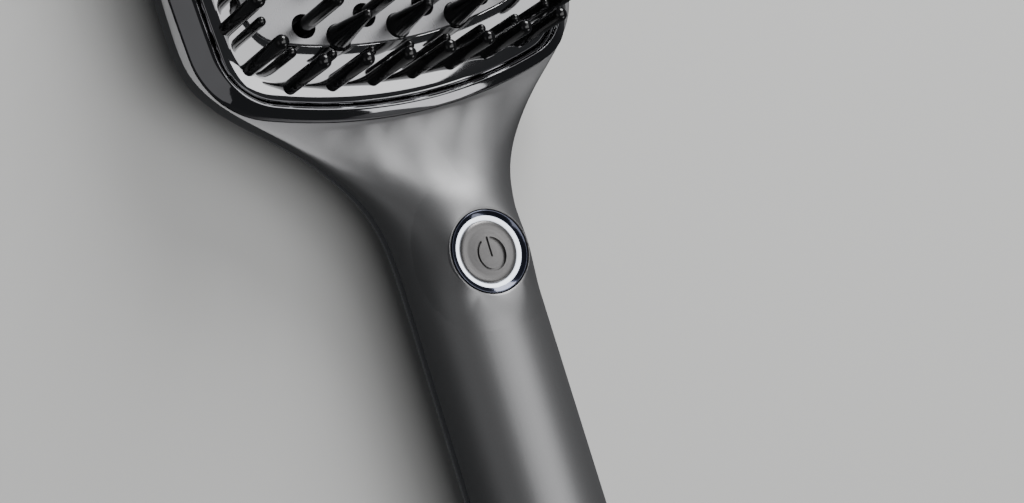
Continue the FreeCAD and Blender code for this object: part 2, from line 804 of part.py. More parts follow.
# ---------------------------------------------------------------------------------------------
# Heated plate, its conical teeth and the parts under it
# ---------------------------------------------------------------------------------------------
def make_plate():
    """Aluminium plate with its flange and the holes for the cool bristles."""
    plate = prism(plate_outline(plate_gap), plate_under_z, plate_top_z)
    flange = prism(plate_outline(-plate_flange), plate_under_z, plate_under_z + plate_flange_thickness)
    holes = [faceted_rod(bristle_radius + plate_hole_clearance, 0, far_away, x, y, repeat_sides)
             for x, y in plate_bristle_spots()]
    return plate.fuse(flange).cut(Part.makeCompound(holes))


def tooth(x, y):
    """Tapering tooth with flat-faced sides."""
    low = polygon(tooth_base_radius, repeat_sides, plate_top_z, x, y)
    high = polygon(tooth_tip_radius, repeat_sides, plate_top_z + tooth_length, x, y)
    faces = [Part.Face(low), Part.Face(high)]
    for under, over in zip(low.Edges, high.Edges):
        corners = [under.firstVertex().Point, under.lastVertex().Point,
                   over.lastVertex().Point, over.firstVertex().Point]
        faces.append(Part.Face(Part.makePolygon(corners + corners[:1])))
    shell = Part.makeShell(faces)
    shell.sewShape()
    solid = Part.makeSolid(shell)
    if solid.Volume < 0:
        solid.reverse()
    return solid


def make_teeth():
    """Heated teeth that stand on the plate."""
    return Part.makeCompound([tooth(x, y) for x, y in tooth_spots()])


def make_heater_strips():
    """Flat heating strips pressed to the plate's back, under the rows of teeth."""
    strips = []
    near_y = lip_near_y + plate_end_inset + heater_margin
    far_y = lip_far_y - plate_end_inset - heater_margin
    for index in range(heater_strips):
        x = (index - (heater_strips - 1) / 2) * lattice_pitch_x
        low_x = x - heater_width / 2
        strips.append(block(low_x, low_x + heater_width, near_y, far_y, bed_top_z, plate_under_z))
    return Part.makeCompound(strips)


def make_bristle_bed():
    """Heat-proof carrier under the plate, with the tall bristles standing on it."""
    end_inset = plate_end_inset + bed_end_inset
    outline = rounded_rectangle(plate_half_width - bed_side_inset, lip_near_y + end_inset,
                                lip_far_y - end_inset, plate_corner - bed_end_inset)
    return prism(outline, steam_top_z, bed_top_z)


def make_plate_frame():
    """Upright frame between the chassis and the plate's flange, notched for the hoses."""
    frame = prism(plate_outline(-plate_flange), chassis_top_z, plate_under_z)
    frame = frame.cut(prism(plate_outline(plate_frame_inset), 0, far_away))
    notches = []
    for side in (-1, 1):
        reach = hose_radius + chassis_gap
        notches.append(block(side * port_side - reach, side * port_side + reach, lip_near_y, spout_y,
                             chassis_z, hose_run_z + reach))
    return frame.cut(Part.makeCompound(notches))


def make_steam_chamber():
    """Shallow closed box with ribbed channels in which water turns to steam."""
    body = prism(rounded_rectangle(steam_half_width, steam_near_y, steam_far_y, steam_corner),
                 chassis_top_z, steam_top_z)
    pitch = (steam_far_y - steam_near_y - 2 * steam_margin) / steam_channels
    reach = steam_half_width - steam_margin
    channels = []
    for index in range(steam_channels):
        low_y = steam_near_y + steam_margin + index * pitch
        channels.append(block(-reach, reach, low_y, low_y + pitch - steam_rib, chassis_top_z + steam_skin,
                              steam_top_z - steam_skin))
    return body.cut(Part.makeCompound(channels))


def make_chassis():
    """Flat frame on the bosses that carries the heated parts."""
    outline = head_outline(lip_half_width - chassis_side_inset, chassis_end_inset, chassis_corner)
    holes = [faceted_rod(screw_radius + screw_hole_clearance, 0, far_away, x, y, fastener_sides)
             for x, y in head_screws]
    holes.append(rod(socket_radius + chassis_gap, 0, far_away, spout_side, spout_y))
    pump_reach = pump_half_width + chassis_gap
    holes.append(block(-pump_reach, pump_reach, 0, pump_far_y + chassis_gap, 0, far_away))
    return prism(outline, chassis_z, chassis_top_z).cut(Part.makeCompound(holes))


# ---------------------------------------------------------------------------------------------
# Pump and its hoses
# ---------------------------------------------------------------------------------------------
def make_pump():
    """Small piston pump: body, coil can and the collars of its two ports."""
    body = block(-pump_half_width, pump_half_width, pump_near_y, pump_far_y, pump_z, pump_top_z)
    coil_radius = pump_height / 2
    coil = Part.makeCylinder(coil_radius, coil_length, Vector(-coil_side, pump_near_y - coil_length,
                                                              pump_z + coil_radius), Vector(0, 1, 0))
    parts = [coil]
    for x in (-port_side, port_side):
        parts.append(ring(port_collar_radius, hose_radius + hose_fit, pump_top_z,
                          pump_top_z + port_collar_height, x, port_y, fastener_sides))
    return body.fuse(parts)


def make_hose(x, end_y):
    """Hose that rises from a pump port, turns and runs level to end_y."""
    rise = faceted_rod(hose_radius, pump_top_z, hose_run_z, x, port_y, fastener_sides)
    section = Part.Face(polygon(hose_radius, fastener_sides, 0))
    section.rotate(Vector(0, 0, 0), Vector(1, 0, 0), 90)
    section.translate(Vector(x, port_y - hose_radius, hose_run_z))
    return rise.fuse(section.extrude(Vector(0, end_y - port_y + hose_radius, 0)))


def make_hoses():
    """Supply hose from the tank's socket and feed hose to the steam chamber."""
    supply = make_hose(port_side, spout_y - socket_radius - hose_fit)
    feed = make_hose(-port_side, steam_near_y)
    return Part.makeCompound([supply, feed])


# ---------------------------------------------------------------------------------------------
# Screws
# ---------------------------------------------------------------------------------------------
def make_screw(x, y, under_head_z, end_z):
    """Screw driven from the back."""
    head = faceted_rod(screw_head_radius, under_head_z - screw_head_height, under_head_z, x, y, repeat_sides)
    return head.fuse(faceted_rod(screw_radius, under_head_z, end_z, x, y, fastener_sides))


def make_screws():
    """All housing screws."""
    screws = [make_screw(x, y, axis_z + head_screw_seat_level, axis_z + head_screw_tip_level)
              for x, y in head_screws]
    screws += [make_screw(x, y, axis_z + handle_screw_seat_level, axis_z + handle_screw_tip_level)
               for x, y in handle_screws]
    return Part.makeCompound(screws)


# ---------------------------------------------------------------------------------------------
# Button group: bezel, light ring, cap, plunger, switch and board
# ---------------------------------------------------------------------------------------------
def make_bezel():
    """Dark ring set in the housing round the button."""
    flange_radius = bezel_radius + bezel_flange
    flange_top_z = bezel_shoulder_z - slide_clearance
    ring_steps = [(flange_radius, bezel_low_z, flange_top_z), (bezel_radius, bezel_low_z, bezel_top_z)]
    bore_steps = [(bezel_ledge_radius, 0, far_away), (bezel_inner_radius, ledge_z, far_away)]
    return stack(ring_steps, 0, button_y, ring_sides).cut(stack(bore_steps, 0, button_y, ring_sides))


def make_light_ring():
    """Translucent ring that glows round the button."""
    return ring(light_ring_radius, light_ring_bore, ledge_z, light_ring_top_z, 0, button_y, ring_sides)


def make_button_cap():
    """Round key with its retaining flange and stem."""
    flange_radius = button_radius + button_flange
    steps = [(button_stem_radius, stem_z, cap_flange_top_z), (flange_radius, cap_flange_z, cap_flange_top_z),
             (button_radius, cap_flange_z, cap_top_z)]
    return stack(steps, 0, button_y, ring_sides)


def make_plunger():
    """Switch plunger under the cap's stem."""
    return faceted_rod(plunger_radius, switch_top_z - plunger_length, stem_z, 0, button_y, fastener_sides)


def make_switch():
    """Push switch on the board, with the bore for its plunger."""
    half = switch_size / 2
    body = block(-half, half, button_y - half, button_y + half, board_top_z, switch_top_z)
    bore_floor_z = max(switch_top_z - plunger_length - button_travel - end_play, board_top_z)
    bore_radius = plunger_radius + slide_clearance
    return body.cut(faceted_rod(bore_radius, bore_floor_z, far_away, 0, button_y, fastener_sides))


def make_board():
    """Control board with its larger components: controller, relay, capacitor and connector."""
    chip_size, chip_height, chip_from_button = 10.0, 1.4, 24.0
    relay_width, relay_length, relay_height, relay_inset = 8.0, 12.0, 4.5, 4.0
    capacitor_radius, capacitor_height, capacitor_side, capacitor_inset = 2.6, 4.0, 5.5, 8.0
    connector_width, connector_length, connector_height, connector_from_button = 10.0, 3.0, 4.0, 30.0
    chip_y = button_y - chip_from_button
    relay_y = board_near_y + relay_inset
    connector_y = button_y - connector_from_button
    board = block(-board_half_width, board_half_width, board_near_y, board_far_y, board_z, board_top_z)
    chip = block(-chip_size / 2, chip_size / 2, chip_y, chip_y + chip_size, board_top_z,
                 board_top_z + chip_height)
    relay = block(-relay_width * 0.75, relay_width * 0.25, relay_y, relay_y + relay_length, board_top_z,
                  board_top_z + relay_height)
    capacitor = rod(capacitor_radius, board_top_z, board_top_z + capacitor_height, capacitor_side,
                    board_near_y + capacitor_inset)
    connector = block(-connector_width / 2, connector_width / 2, connector_y, connector_y + connector_length,
                      board_z - connector_height, board_z)
    return board.fuse([chip, relay, capacitor, connector])


# ---------------------------------------------------------------------------------------------
# Water tank: clear body, gloss cover, seal and plug
# ---------------------------------------------------------------------------------------------
def make_tank_shell():
    """Closed clear tank with its spout and filler."""
    outer = prism(bay_outline(0), tank_cover_z, tank_top_z)
    inner = prism(bay_outline(-tank_wall), tank_cover_z + tank_wall, tank_top_z - tank_wall)
    spout_top_z = seal_z + seal_thickness - end_play
    spout = faceted_rod(spout_radius, tank_top_z, spout_top_z, spout_side, spout_y, spout_sides)
    spout_hole = faceted_rod(spout_bore, inner.BoundBox.ZMax - overcut, far_away, spout_side, spout_y,
                             spout_sides)
    filler = faceted_rod(filler_radius, 0, inner.BoundBox.ZMin + overcut, 0, filler_y, spout_sides)
    return outer.cut(inner).fuse(spout).cut(spout_hole).cut(filler)


def make_tank_cover():
    """Outer cover of the tank, level with the housing's back, with a finger notch."""
    cover = prism(bay_outline(0), tank_floor_relief, tank_cover_z)
    recess_z = tank_floor_relief + plug_gap + plug_head_thickness
    hole = stack([(plug_head_radius + tank_clearance, 0, recess_z), (filler_radius, 0, far_away)],
                 0, filler_y, spout_sides)
    grip_z = tank_floor_relief + grip_depth - grip_radius
    grip = Part.makeCylinder(grip_radius, grip_width, Vector(-grip_width / 2, tank_near_y, grip_z),
                             Vector(1, 0, 0))
    return cover.cut(hole).cut(grip)


def make_tank_plug():
    """Soft plug that closes the filler, with its pull head."""
    head_z = tank_floor_relief + plug_gap
    shoulder_z = head_z + plug_head_thickness
    stem_top_z = shoulder_z + plug_length
    shank_radius = filler_radius - slide_clearance
    return stack([(plug_head_radius, head_z, shoulder_z), (shank_radius, head_z, stem_top_z)],
                 0, filler_y, spout_sides)


def make_tank_seal():
    """Sealing ring in the socket over the tank's spout."""
    return ring(seal_radius, spout_radius + running_clearance, seal_z, seal_z + seal_thickness,
                spout_side, spout_y, spout_sides)


# ---------------------------------------------------------------------------------------------
# Handle end: cap and turning cord gland
# ---------------------------------------------------------------------------------------------
def make_end_cap():
    """Cap that closes the handle and holds the gland."""
    outer_radius = handle_radius - end_cap_step
    spigot_y = shell_end_y + end_cap_spigot
    flat_share = math.cos(math.pi / (4 * cavity_steps))
    spigot_radius = (handle_radius - wall) * flat_share - slide_clearance
    spigot_inner_radius = spigot_radius - end_cap_spigot_wall
    bore = round_along_handle(gland_shaft_radius + running_clearance, cap_outer_y, cap_inner_y)
    body = along_handle([(outer_radius, cap_outer_y, shell_end_y), (spigot_radius, cap_outer_y, spigot_y)],
                        ring_sides)
    return body.cut(along_handle([(spigot_inner_radius, cap_inner_y, spigot_y)], ring_sides)).cut(bore)


def make_gland():
    """Turning cord outlet: shaft in the cap, outer collar and tapering nose."""
    tip_y = cap_outer_y - gland_length
    collar_y = cap_outer_y - end_play
    collar_start_y = cap_outer_y - gland_collar_length
    retainer_y = cap_inner_y + end_play
    retainer_end_y = retainer_y + gland_retainer_thickness
    shaft = round_along_handle(gland_shaft_radius, collar_start_y, retainer_end_y)
    body = along_handle([(gland_collar_radius, collar_start_y, collar_y),
                         (gland_retainer_radius, retainer_y, retainer_end_y)], spout_sides)
    nose_ends = []
    for radius, y in ((gland_tip_radius, tip_y), (gland_tip_radius + gland_taper, collar_start_y)):
        outline = polygon(radius, spout_sides, y)
        outline.rotate(Vector(0, 0, 0), Vector(1, 0, 0), -90)
        outline.translate(Vector(0, 0, axis_z))
        nose_ends.append(outline)
    bore = round_along_handle(gland_bore_radius, tip_y, retainer_end_y)
    return body.fuse([shaft, loft(nose_ends, ruled=True)]).cut(bore)


# ---------------------------------------------------------------------------------------------
# Build
# ---------------------------------------------------------------------------------------------
os.makedirs("parts", exist_ok=True)
tall_row = head_outline(lip_half_width - bristle_side_inset, bristle_end_inset, bristle_corner,
                        bow=bristle_bow)
short_row = head_outline(lip_half_width - short_side_inset, short_end_inset, short_corner, bow=bristle_bow)
tall_spots = spots_along(tall_row, bristle_count, 0.0)
short_spots = spots_along(short_row, bristle_count, 0.5)
save(make_front_shell(), "front_shell")
save(make_back_shell(), "back_shell")
save(make_rim(), "rim")
save(make_tray(), "bristle_tray")
save(make_bristles(bristle_radius, tray_top_z, tip_z, tall_spots), "tall_bristles")
save(make_bristles(short_bristle_radius, tray_top_z, short_tip_z, short_spots), "short_bristles")
save(make_plate(), "heated_plate")
save(make_teeth(), "plate_teeth")
save(make_bristles(bristle_radius, bed_top_z, tip_z, plate_bristle_spots()), "plate_bristles")
save(make_bristle_bed(), "bristle_bed")
save(make_heater_strips(), "heater_strips")
save(make_plate_frame(), "plate_frame")
save(make_steam_chamber(), "steam_chamber")
save(make_chassis(), "chassis")
save(make_pump(), "pump")
save(make_hoses(), "hoses")
save(make_screws(), "screws")
save(make_bezel(), "button_bezel")
save(make_light_ring(), "light_ring")
save(make_button_cap(), "button_cap")
save(make_plunger(), "switch_plunger")
save(make_switch(), "switch_body")
save(make_board(), "control_board")
save(make_tank_shell(), "tank_shell")
save(make_tank_cover(), "tank_cover")
save(make_tank_plug(), "tank_plug")
save(make_tank_seal(), "tank_seal")
save(make_end_cap(), "end_cap")
save(make_gland(), "cord_gland")
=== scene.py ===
import math

import bmesh
import bpy
from mathutils import Matrix, Vector


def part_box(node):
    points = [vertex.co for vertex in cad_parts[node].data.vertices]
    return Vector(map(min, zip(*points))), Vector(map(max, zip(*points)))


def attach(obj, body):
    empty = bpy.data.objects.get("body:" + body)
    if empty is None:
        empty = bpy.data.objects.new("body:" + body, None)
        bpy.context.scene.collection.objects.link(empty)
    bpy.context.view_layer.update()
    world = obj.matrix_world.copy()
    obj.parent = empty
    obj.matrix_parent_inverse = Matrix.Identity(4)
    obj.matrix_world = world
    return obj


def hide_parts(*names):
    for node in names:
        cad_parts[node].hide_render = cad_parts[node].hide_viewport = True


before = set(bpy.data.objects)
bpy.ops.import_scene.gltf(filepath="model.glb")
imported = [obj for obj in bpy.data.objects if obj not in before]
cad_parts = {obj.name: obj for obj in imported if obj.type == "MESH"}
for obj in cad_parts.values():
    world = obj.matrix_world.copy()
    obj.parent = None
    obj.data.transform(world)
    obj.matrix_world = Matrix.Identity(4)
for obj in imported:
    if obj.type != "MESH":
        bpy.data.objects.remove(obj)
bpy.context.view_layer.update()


# ---------------------------------------------------------------------------------------------
# Front shell: upper half of the housing, injection moulded in one piece and sprayed with a satin
# grey metallic paint. It carries the rim's seat and the flat pad round the button.
# ---------------------------------------------------------------------------------------------
MM = 0.001
WELD_GAP = 1e-6
MIX_SHARE, MIX_LOW, MIX_HIGH, MIX_COLOUR = 0, 6, 7, 2


class Wire:
    """An output of a finish's nodes that can be used in sums."""

    def __init__(self, finish, socket):
        self.finish = finish
        self.socket = socket

    def maths(self, operation, first, second):
        return self.finish.node("ShaderNodeMath", {"operation": operation}, {0: first, 1: second})

    def __add__(self, other):
        return self.maths("ADD", self, other)

    def __radd__(self, other):
        return self.maths("ADD", other, self)

    def __mul__(self, other):
        return self.maths("MULTIPLY", self, other)

    def __rmul__(self, other):
        return self.maths("MULTIPLY", other, self)


class Finish:
    """One material: its node tree, its shader and the ways to feed it."""

    def __init__(self, name, **sockets):
        self.material = bpy.data.materials.new(name)
        self.material.use_nodes = True
        self.tree = self.material.node_tree
        self.shader = next(node for node in self.tree.nodes if node.type == "BSDF_PRINCIPLED")
        for socket, value in sockets.items():
            self.shader.inputs[socket.replace("_", " ")].default_value = value

    def node(self, kind, settings, inputs, output=0):
        """Add a node of a type with its settings, then its sockets' values or links."""
        made = self.tree.nodes.new(kind)
        for key, value in settings.items():
            setattr(made, key, value)
        for key, value in inputs.items():
            if isinstance(value, Wire):
                self.tree.links.new(value.socket, made.inputs[key])
            else:
                made.inputs[key].default_value = value
        return Wire(self, made.outputs[output])

    def place(self):
        """Position on the object, in metres."""
        return self.node("ShaderNodeTexCoord", {}, {}, "Object")

    def grain(self, size_mm, detail=3.0, place=None):
        """Soft noise whose grains are about size_mm across."""
        sockets = {"Vector": place or self.place(), "Scale": 1 / (size_mm * MM), "Detail": detail}
        return self.node("ShaderNodeTexNoise", {}, sockets)

    def blend(self, share, low, high):
        """Colour between two, each red, green and blue, by a share that changes over the surface."""
        ends = {MIX_SHARE: share, MIX_LOW: low + (1,), MIX_HIGH: high + (1,)}
        return self.node("ShaderNodeMix", {"data_type": "RGBA"}, ends, MIX_COLOUR)

    def dent(self, height, depth_mm, strength):
        """Surface relief up to depth_mm deep."""
        sockets = {"Height": height, "Distance": depth_mm * MM, "Strength": strength}
        return self.node("ShaderNodeBump", {}, sockets)

    def feed(self, **wires):
        """Lead wires to the shader."""
        for socket, wire in wires.items():
            self.tree.links.new(wire.socket, self.shader.inputs[socket.replace("_", " ")])


def dress(node, finish):
    """Give a CAD node its finish."""
    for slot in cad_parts[node].material_slots:
        slot.material = finish.material


def placed(name, data):
    """Put a mesh, lamp or camera in the scene."""
    made = bpy.data.objects.new(name, data)
    bpy.context.scene.collection.objects.link(made)
    return made


def raw_mesh(name, points, faces):
    """Mesh in metres from points in mm."""
    mesh = bpy.data.meshes.new(name)
    mesh.from_pydata([Vector(p) * MM for p in points], [], faces)
    return mesh


def welded(mesh):
    """The same mesh with its doubled points joined and its faces turned out."""
    form = bmesh.new()
    form.from_mesh(mesh)
    bmesh.ops.remove_doubles(form, verts=form.verts, dist=WELD_GAP)
    bmesh.ops.recalc_face_normals(form, faces=form.faces)
    form.to_mesh(mesh)
    form.free()
    return mesh


def settle(name, mesh, finish, body, slot, node=None, sharp=35.0):
    """Turn a mesh into a shown piece on a body, smooth but for edges over sharp degrees."""
    welded(mesh)
    mesh.shade_smooth()
    mesh.set_sharp_from_angle(angle=math.radians(sharp))
    mesh.materials.clear()
    mesh.materials.append(finish.material)
    made = placed(name, mesh)
    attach(made, body)
    if node:
        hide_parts(node)


def piece(name, shape, *fittings):
    """Settle a piece from the points in mm and the faces of its shape."""
    settle(name, raw_mesh(name, *shape), *fittings)


def skinned(rows, closed=True):
    """Points and faces of a skin through equal closed rows of points."""
    points = [tuple(point) for row in rows for point in row]
    count = len(rows[0])
    faces = []
    for row in range(len(rows) if closed else len(rows) - 1):
        low, high = row * count, (row + 1) % len(rows) * count
        for index in range(count):
            following = (index + 1) % count
            faces.append((low + index, low + following, high + following, high + index))
    return points, faces


satin_paint = Finish("satin_grey_paint", Metallic=0.88)
flake = satin_paint.grain(0.3, 2.0)
drift = satin_paint.grain(35.0, 2.0)
satin_paint.feed(Base_Color=satin_paint.blend(flake, (0.215, 0.215, 0.219), (0.245, 0.245, 0.249)),
                 Roughness=0.44 + 0.03 * flake + 0.02 * drift,
                 Normal=satin_paint.dent(satin_paint.grain(1.1, 2.0), 0.003, 0.4))
dress("front_shell", satin_paint)

# ---------------------------------------------------------------------------------------------
# Button shoulder: part of the front shell's moulding in the same paint, the smooth swelling that
# leads from the round handle up to the level pad round the button.
# ---------------------------------------------------------------------------------------------
HANDLE_RADIUS, AXIS_Z = 13.4, 17.2
BUTTON_Y, PAD_LEVEL, PAD_EDGE = -3.15, 12.45, 8.45
NECK_START, NECK_LENGTH, NECK_SPREAD = 2.0, 60.0, 31.6
FALL_START, FALL_LENGTH, FALL_DEPTH = 4.0, 32.0, 12.8
FLARE_LEAD, FLARE_PITCH, FLARE_COUNT = 6.0, 7.6, 11
FLARE_ROWS = [BUTTON_Y - FLARE_LEAD + FLARE_PITCH * index for index in range(FLARE_COUNT)]
SHOULDER_REACH, FLANK_REACH = 9.0, 1.5
SHOULDER_PROUD, CORNER_PROUD, OUTER_SINK, OUTER_START = 0.08, 0.09, 0.15, 0.45
SHORT_FADE, SUNKEN_FADE, LONG_FADE, FLANK_FADE = 0.8, 4.7, 5.4, 4.6
SHOULDER_THICKNESS, EDGE_THICKNESS = 0.8, 0.9
SHOULDER_TURNS, SHOULDER_STEPS, STEP_GROWTH = 144, 24, 1.2
SEARCH_HALVINGS = 30


def ease(share):
    """Smooth step from 0 to 1, level and unbent at both ends."""
    share = min(max(share, 0.0), 1.0)
    return share ** 3 * (10 - 15 * share + 6 * share ** 2)


def drawn_through(poles, place):
    """Value at a place along a clamped cubic spline over poles, one knot to each unit."""
    last = len(poles) - 3
    knots = [0.0] * 3 + [float(knot) for knot in range(last + 1)] + [float(last)] * 3
    cell = min(int(place), last - 1) + 3
    values = poles[cell - 3:cell + 1]
    for level in (1, 2, 3):
        for index in range(3, level - 1, -1):
            low, high = knots[cell - 3 + index], knots[cell + 1 + index - level]
            share = (place - low) / (high - low)
            values[index] = values[index - 1] * (1 - share) + values[index] * share
    return values[3]


def handle_section(y):
    """Half width and crest height, over the axis, of the housing's upper half near the button."""
    if y <= FLARE_ROWS[0]:
        return HANDLE_RADIUS, HANDLE_RADIUS
    low, high = 0.0, len(FLARE_ROWS) - 3.0
    for _ in range(SEARCH_HALVINGS):
        place = (low + high) / 2
        low, high = (place, high) if drawn_through(FLARE_ROWS, place) < y else (low, place)
    past = [row - BUTTON_Y for row in FLARE_ROWS]
    widths = [HANDLE_RADIUS + NECK_SPREAD * ease((reach - NECK_START) / NECK_LENGTH) for reach in past]
    heights = [HANDLE_RADIUS - FALL_DEPTH * ease((reach - FALL_START) / FALL_LENGTH) for reach in past]
    return drawn_through(widths, place), drawn_through(heights, place)


def shoulder_point(turn, share, sunk=0.0):
    """Point on the shoulder: turn round the button from +Y, share 0 at the pad's edge to 1 outside."""
    edge_x, edge_y = PAD_EDGE * math.sin(turn), PAD_EDGE * math.cos(turn)
    width, height = handle_section(BUTTON_Y + edge_y)
    edge_angle = math.atan2(edge_x / width, PAD_LEVEL / height)
    edge_scale = PAD_LEVEL / (height * math.cos(edge_angle))
    flank = abs(math.sin(turn))
    reach = (SHOULDER_REACH + FLANK_REACH * flank) * share
    spread = 1 + reach / math.hypot(edge_angle * HANDLE_RADIUS, edge_y)
    angle, y = edge_angle * spread, BUTTON_Y + edge_y * spread
    width, height = handle_section(y)
    sunken = (1 - edge_scale) / (1 - PAD_LEVEL / HANDLE_RADIUS)
    fade = SHORT_FADE + SUNKEN_FADE * sunken if sunken > 0 else LONG_FADE + FLANK_FADE * flank ** 2
    unsettled = max(0.0, 1 - reach / fade) ** 2
    diagonal = max(0.0, -math.cos(turn)) * abs(math.sin(2 * turn))
    outer_fall = OUTER_SINK * ease((share - OUTER_START) / (1 - OUTER_START))
    lift = SHOULDER_PROUD + CORNER_PROUD * diagonal * (1 - share) - outer_fall - sunk
    scale = 1 + (edge_scale - 1) * unsettled + lift / HANDLE_RADIUS
    return Vector((width * math.sin(angle) * scale, y, AXIS_Z + height * math.cos(angle) * scale))


turns = [2 * math.pi * step / SHOULDER_TURNS for step in range(SHOULDER_TURNS)]
shares = [(step / SHOULDER_STEPS) ** STEP_GROWTH for step in range(SHOULDER_STEPS + 1)]
shoulder_rows = [[shoulder_point(turn, share) for turn in turns] for share in shares]
edge_dip = Vector((0, 0, SHOULDER_PROUD))
edge_drop = Vector((0, 0, EDGE_THICKNESS))
shoulder_rows[0] = [point - edge_dip for point in shoulder_rows[0]]
for share in reversed(shares[1:]):
    shoulder_rows.append([shoulder_point(turn, share, SHOULDER_THICKNESS) for turn in turns])
shoulder_rows.append([point - edge_drop for point in shoulder_rows[0]])
piece("button_shoulder", skinned(shoulder_rows), satin_paint, "housing", "satin_shell")

# ---------------------------------------------------------------------------------------------
# Back shell: lower half of the housing, moulded in black and left glossy from the polished
# mould. It holds the tank's bay and the screw bosses.
# ---------------------------------------------------------------------------------------------
gloss_black = Finish("gloss_black_moulding", Coat_Weight=0.4, Coat_Roughness=0.05)
peel = gloss_black.grain(2.4, 2.0)
wipe = gloss_black.grain(14.0, 4.0)
gloss_black.feed(Base_Color=gloss_black.blend(wipe, (0.008, 0.008, 0.009), (0.014, 0.014, 0.016)),
                 Roughness=0.09 + 0.08 * wipe,
                 Normal=gloss_black.dent(peel, 0.006, 0.35))
dress("back_shell", gloss_black)

# ---------------------------------------------------------------------------------------------
# Inner parts: chassis, plate frame, bristle carrier, pump and switch are plain dark mouldings,
# the heater and steam chamber bare aluminium, the hoses and seal soft rubber, the board lacquered.
# ---------------------------------------------------------------------------------------------
plain_dark = Finish("plain_moulding")
dark_grain = plain_dark.grain(0.6)
plain_dark.feed(Base_Color=plain_dark.blend(dark_grain, (0.045, 0.045, 0.05), (0.07, 0.07, 0.075)),
                Roughness=0.45 + 0.12 * dark_grain)
bare_aluminium = Finish("bare_aluminium", Metallic=1.0)
cast_grain = bare_aluminium.grain(0.9)
bare_aluminium.feed(Base_Color=bare_aluminium.blend(cast_grain, (0.5, 0.5, 0.51), (0.62, 0.62, 0.63)),
                    Roughness=0.3 + 0.15 * cast_grain)
soft_rubber = Finish("soft_rubber", Specular_IOR_Level=0.4)
rubber_grain = soft_rubber.grain(0.5)
soft_rubber.feed(Base_Color=soft_rubber.blend(rubber_grain, (0.018, 0.018, 0.02), (0.032, 0.032, 0.034)),
                 Roughness=0.5 + 0.15 * rubber_grain,
                 Normal=soft_rubber.dent(rubber_grain, 0.01, 0.4))
board_lacquer = Finish("board_lacquer", Coat_Weight=0.6)
board_cloth = {"Vector": board_lacquer.place(), "Scale": 1 / (0.4 * MM)}
weave = board_lacquer.node("ShaderNodeTexChecker", {}, board_cloth, "Fac")
board_lacquer.feed(Base_Color=board_lacquer.blend(weave, (0.018, 0.085, 0.04), (0.026, 0.11, 0.052)),
                   Roughness=0.28 + 0.1 * weave)
for node in ("chassis", "plate_frame", "bristle_bed", "pump", "switch_body", "switch_plunger"):
    dress(node, plain_dark)
for node in ("heater_strips", "steam_chamber"):
    dress(node, bare_aluminium)
for node in ("hoses", "tank_seal"):
    dress(node, soft_rubber)
dress("control_board", board_lacquer)


# ---------------------------------------------------------------------------------------------
# Rim: glossy frame round the bristles, moulded in plastic and plated in black chrome. Its outer
# face, on a low wall at each end, slopes up to a crisp crest and falls steeply to the tray.
# ---------------------------------------------------------------------------------------------
HEAD_MID_Y = 82.35
SIDE_BOW, END_BOW = 600.0, 108.0
LIP_NEAR_Y, LIP_HALF_WIDTH, LIP_CORNER, LIP_SEAM = 28.35, 44.2, 16.0, 0.12
CREST_SIDE, CREST_END, CREST_CORNER = 3.6, 1.9, 13.0
RIM_FOOT_Z, LIP_Z, CREST_Z, TRAY_EDGE_Z = 15.4, 17.5, 21.1, 19.7
END_WALL, WALL_START, WALL_BLEND, FOOT_ROUNDING = 2.15, 0.35, 0.6, 0.15
# The slope's rows are shares of its width and of its rise, the crest's are insets and heights.
SLOPE_ROWS = ((0.03, 0.02), (0.1, 0.1), (0.35, 0.37), (0.65, 0.68), (0.85, 0.87), (0.95, 0.95))
CREST_ROWS = ((0.06, CREST_Z - 0.02), (0.2, CREST_Z), (0.36, CREST_Z - 0.1), (0.6, CREST_Z - 0.4),
              (0.84, CREST_Z - 0.8), (1.04, CREST_Z - 1.16), (1.2, TRAY_EDGE_Z - 0.05),
              (1.2, RIM_FOOT_Z))
BOW_STEPS, CORNER_STEPS = 14, 18


def fan(centre, start, end, steps):
    """Points on an arc round a centre from one point to another, both kept."""
    first, last = start - centre, end - centre
    turn = first.angle_signed(last)
    points = []
    for step in range(steps + 1):
        share = step / steps
        length = first.length * (1 - share) + last.length * share
        spoke = Matrix.Rotation(-turn * share, 2) @ first
        points.append(centre + spoke * (length / spoke.length))
    return points


def head_ring(half_width, end_inset, corner, bow=END_BOW):
    """Closed plan outline of the head in mm: bowed sides, bowed ends and round corners."""
    near_y = LIP_NEAR_Y + end_inset
    side_radius = SIDE_BOW - (LIP_HALF_WIDTH - half_width)
    end_radius = bow - end_inset
    side_centre = Vector((half_width - side_radius, HEAD_MID_Y))
    end_centre = Vector((0, near_y + end_radius))
    to_side = side_radius - corner
    to_end = end_radius - corner
    between = end_centre - side_centre
    gap = between.length
    along = (to_side ** 2 - to_end ** 2 + gap ** 2) / (2 * gap)
    across = math.sqrt(to_side ** 2 - along ** 2)
    direction = between / gap
    sideways = Vector((direction.y, -direction.x))
    centre = side_centre + direction * along + sideways * across
    if centre.y > HEAD_MID_Y or centre.x < 0:
        centre = side_centre + direction * along - sideways * across
    on_side = side_centre + (centre - side_centre) * (side_radius / to_side)
    on_end = end_centre + (centre - end_centre) * (end_radius / to_end)
    near_right = fan(end_centre, Vector((0, near_y)), on_end, BOW_STEPS)[:-1]
    near_right += fan(centre, on_end, on_side, CORNER_STEPS)[:-1]
    near_right += fan(side_centre, on_side, Vector((half_width, HEAD_MID_Y)), BOW_STEPS)
    far_right = [Vector((p.x, 2 * HEAD_MID_Y - p.y)) for p in reversed(near_right[:-1])]
    right = near_right + far_right
    left = [Vector((-p.x, p.y)) for p in reversed(right[1:-1])]
    return right + left


def crest_ring(inset):
    """Outline of the rim's crest, or one inside it."""
    return head_ring(LIP_HALF_WIDTH - CREST_SIDE - inset, CREST_END + inset, CREST_CORNER - inset)


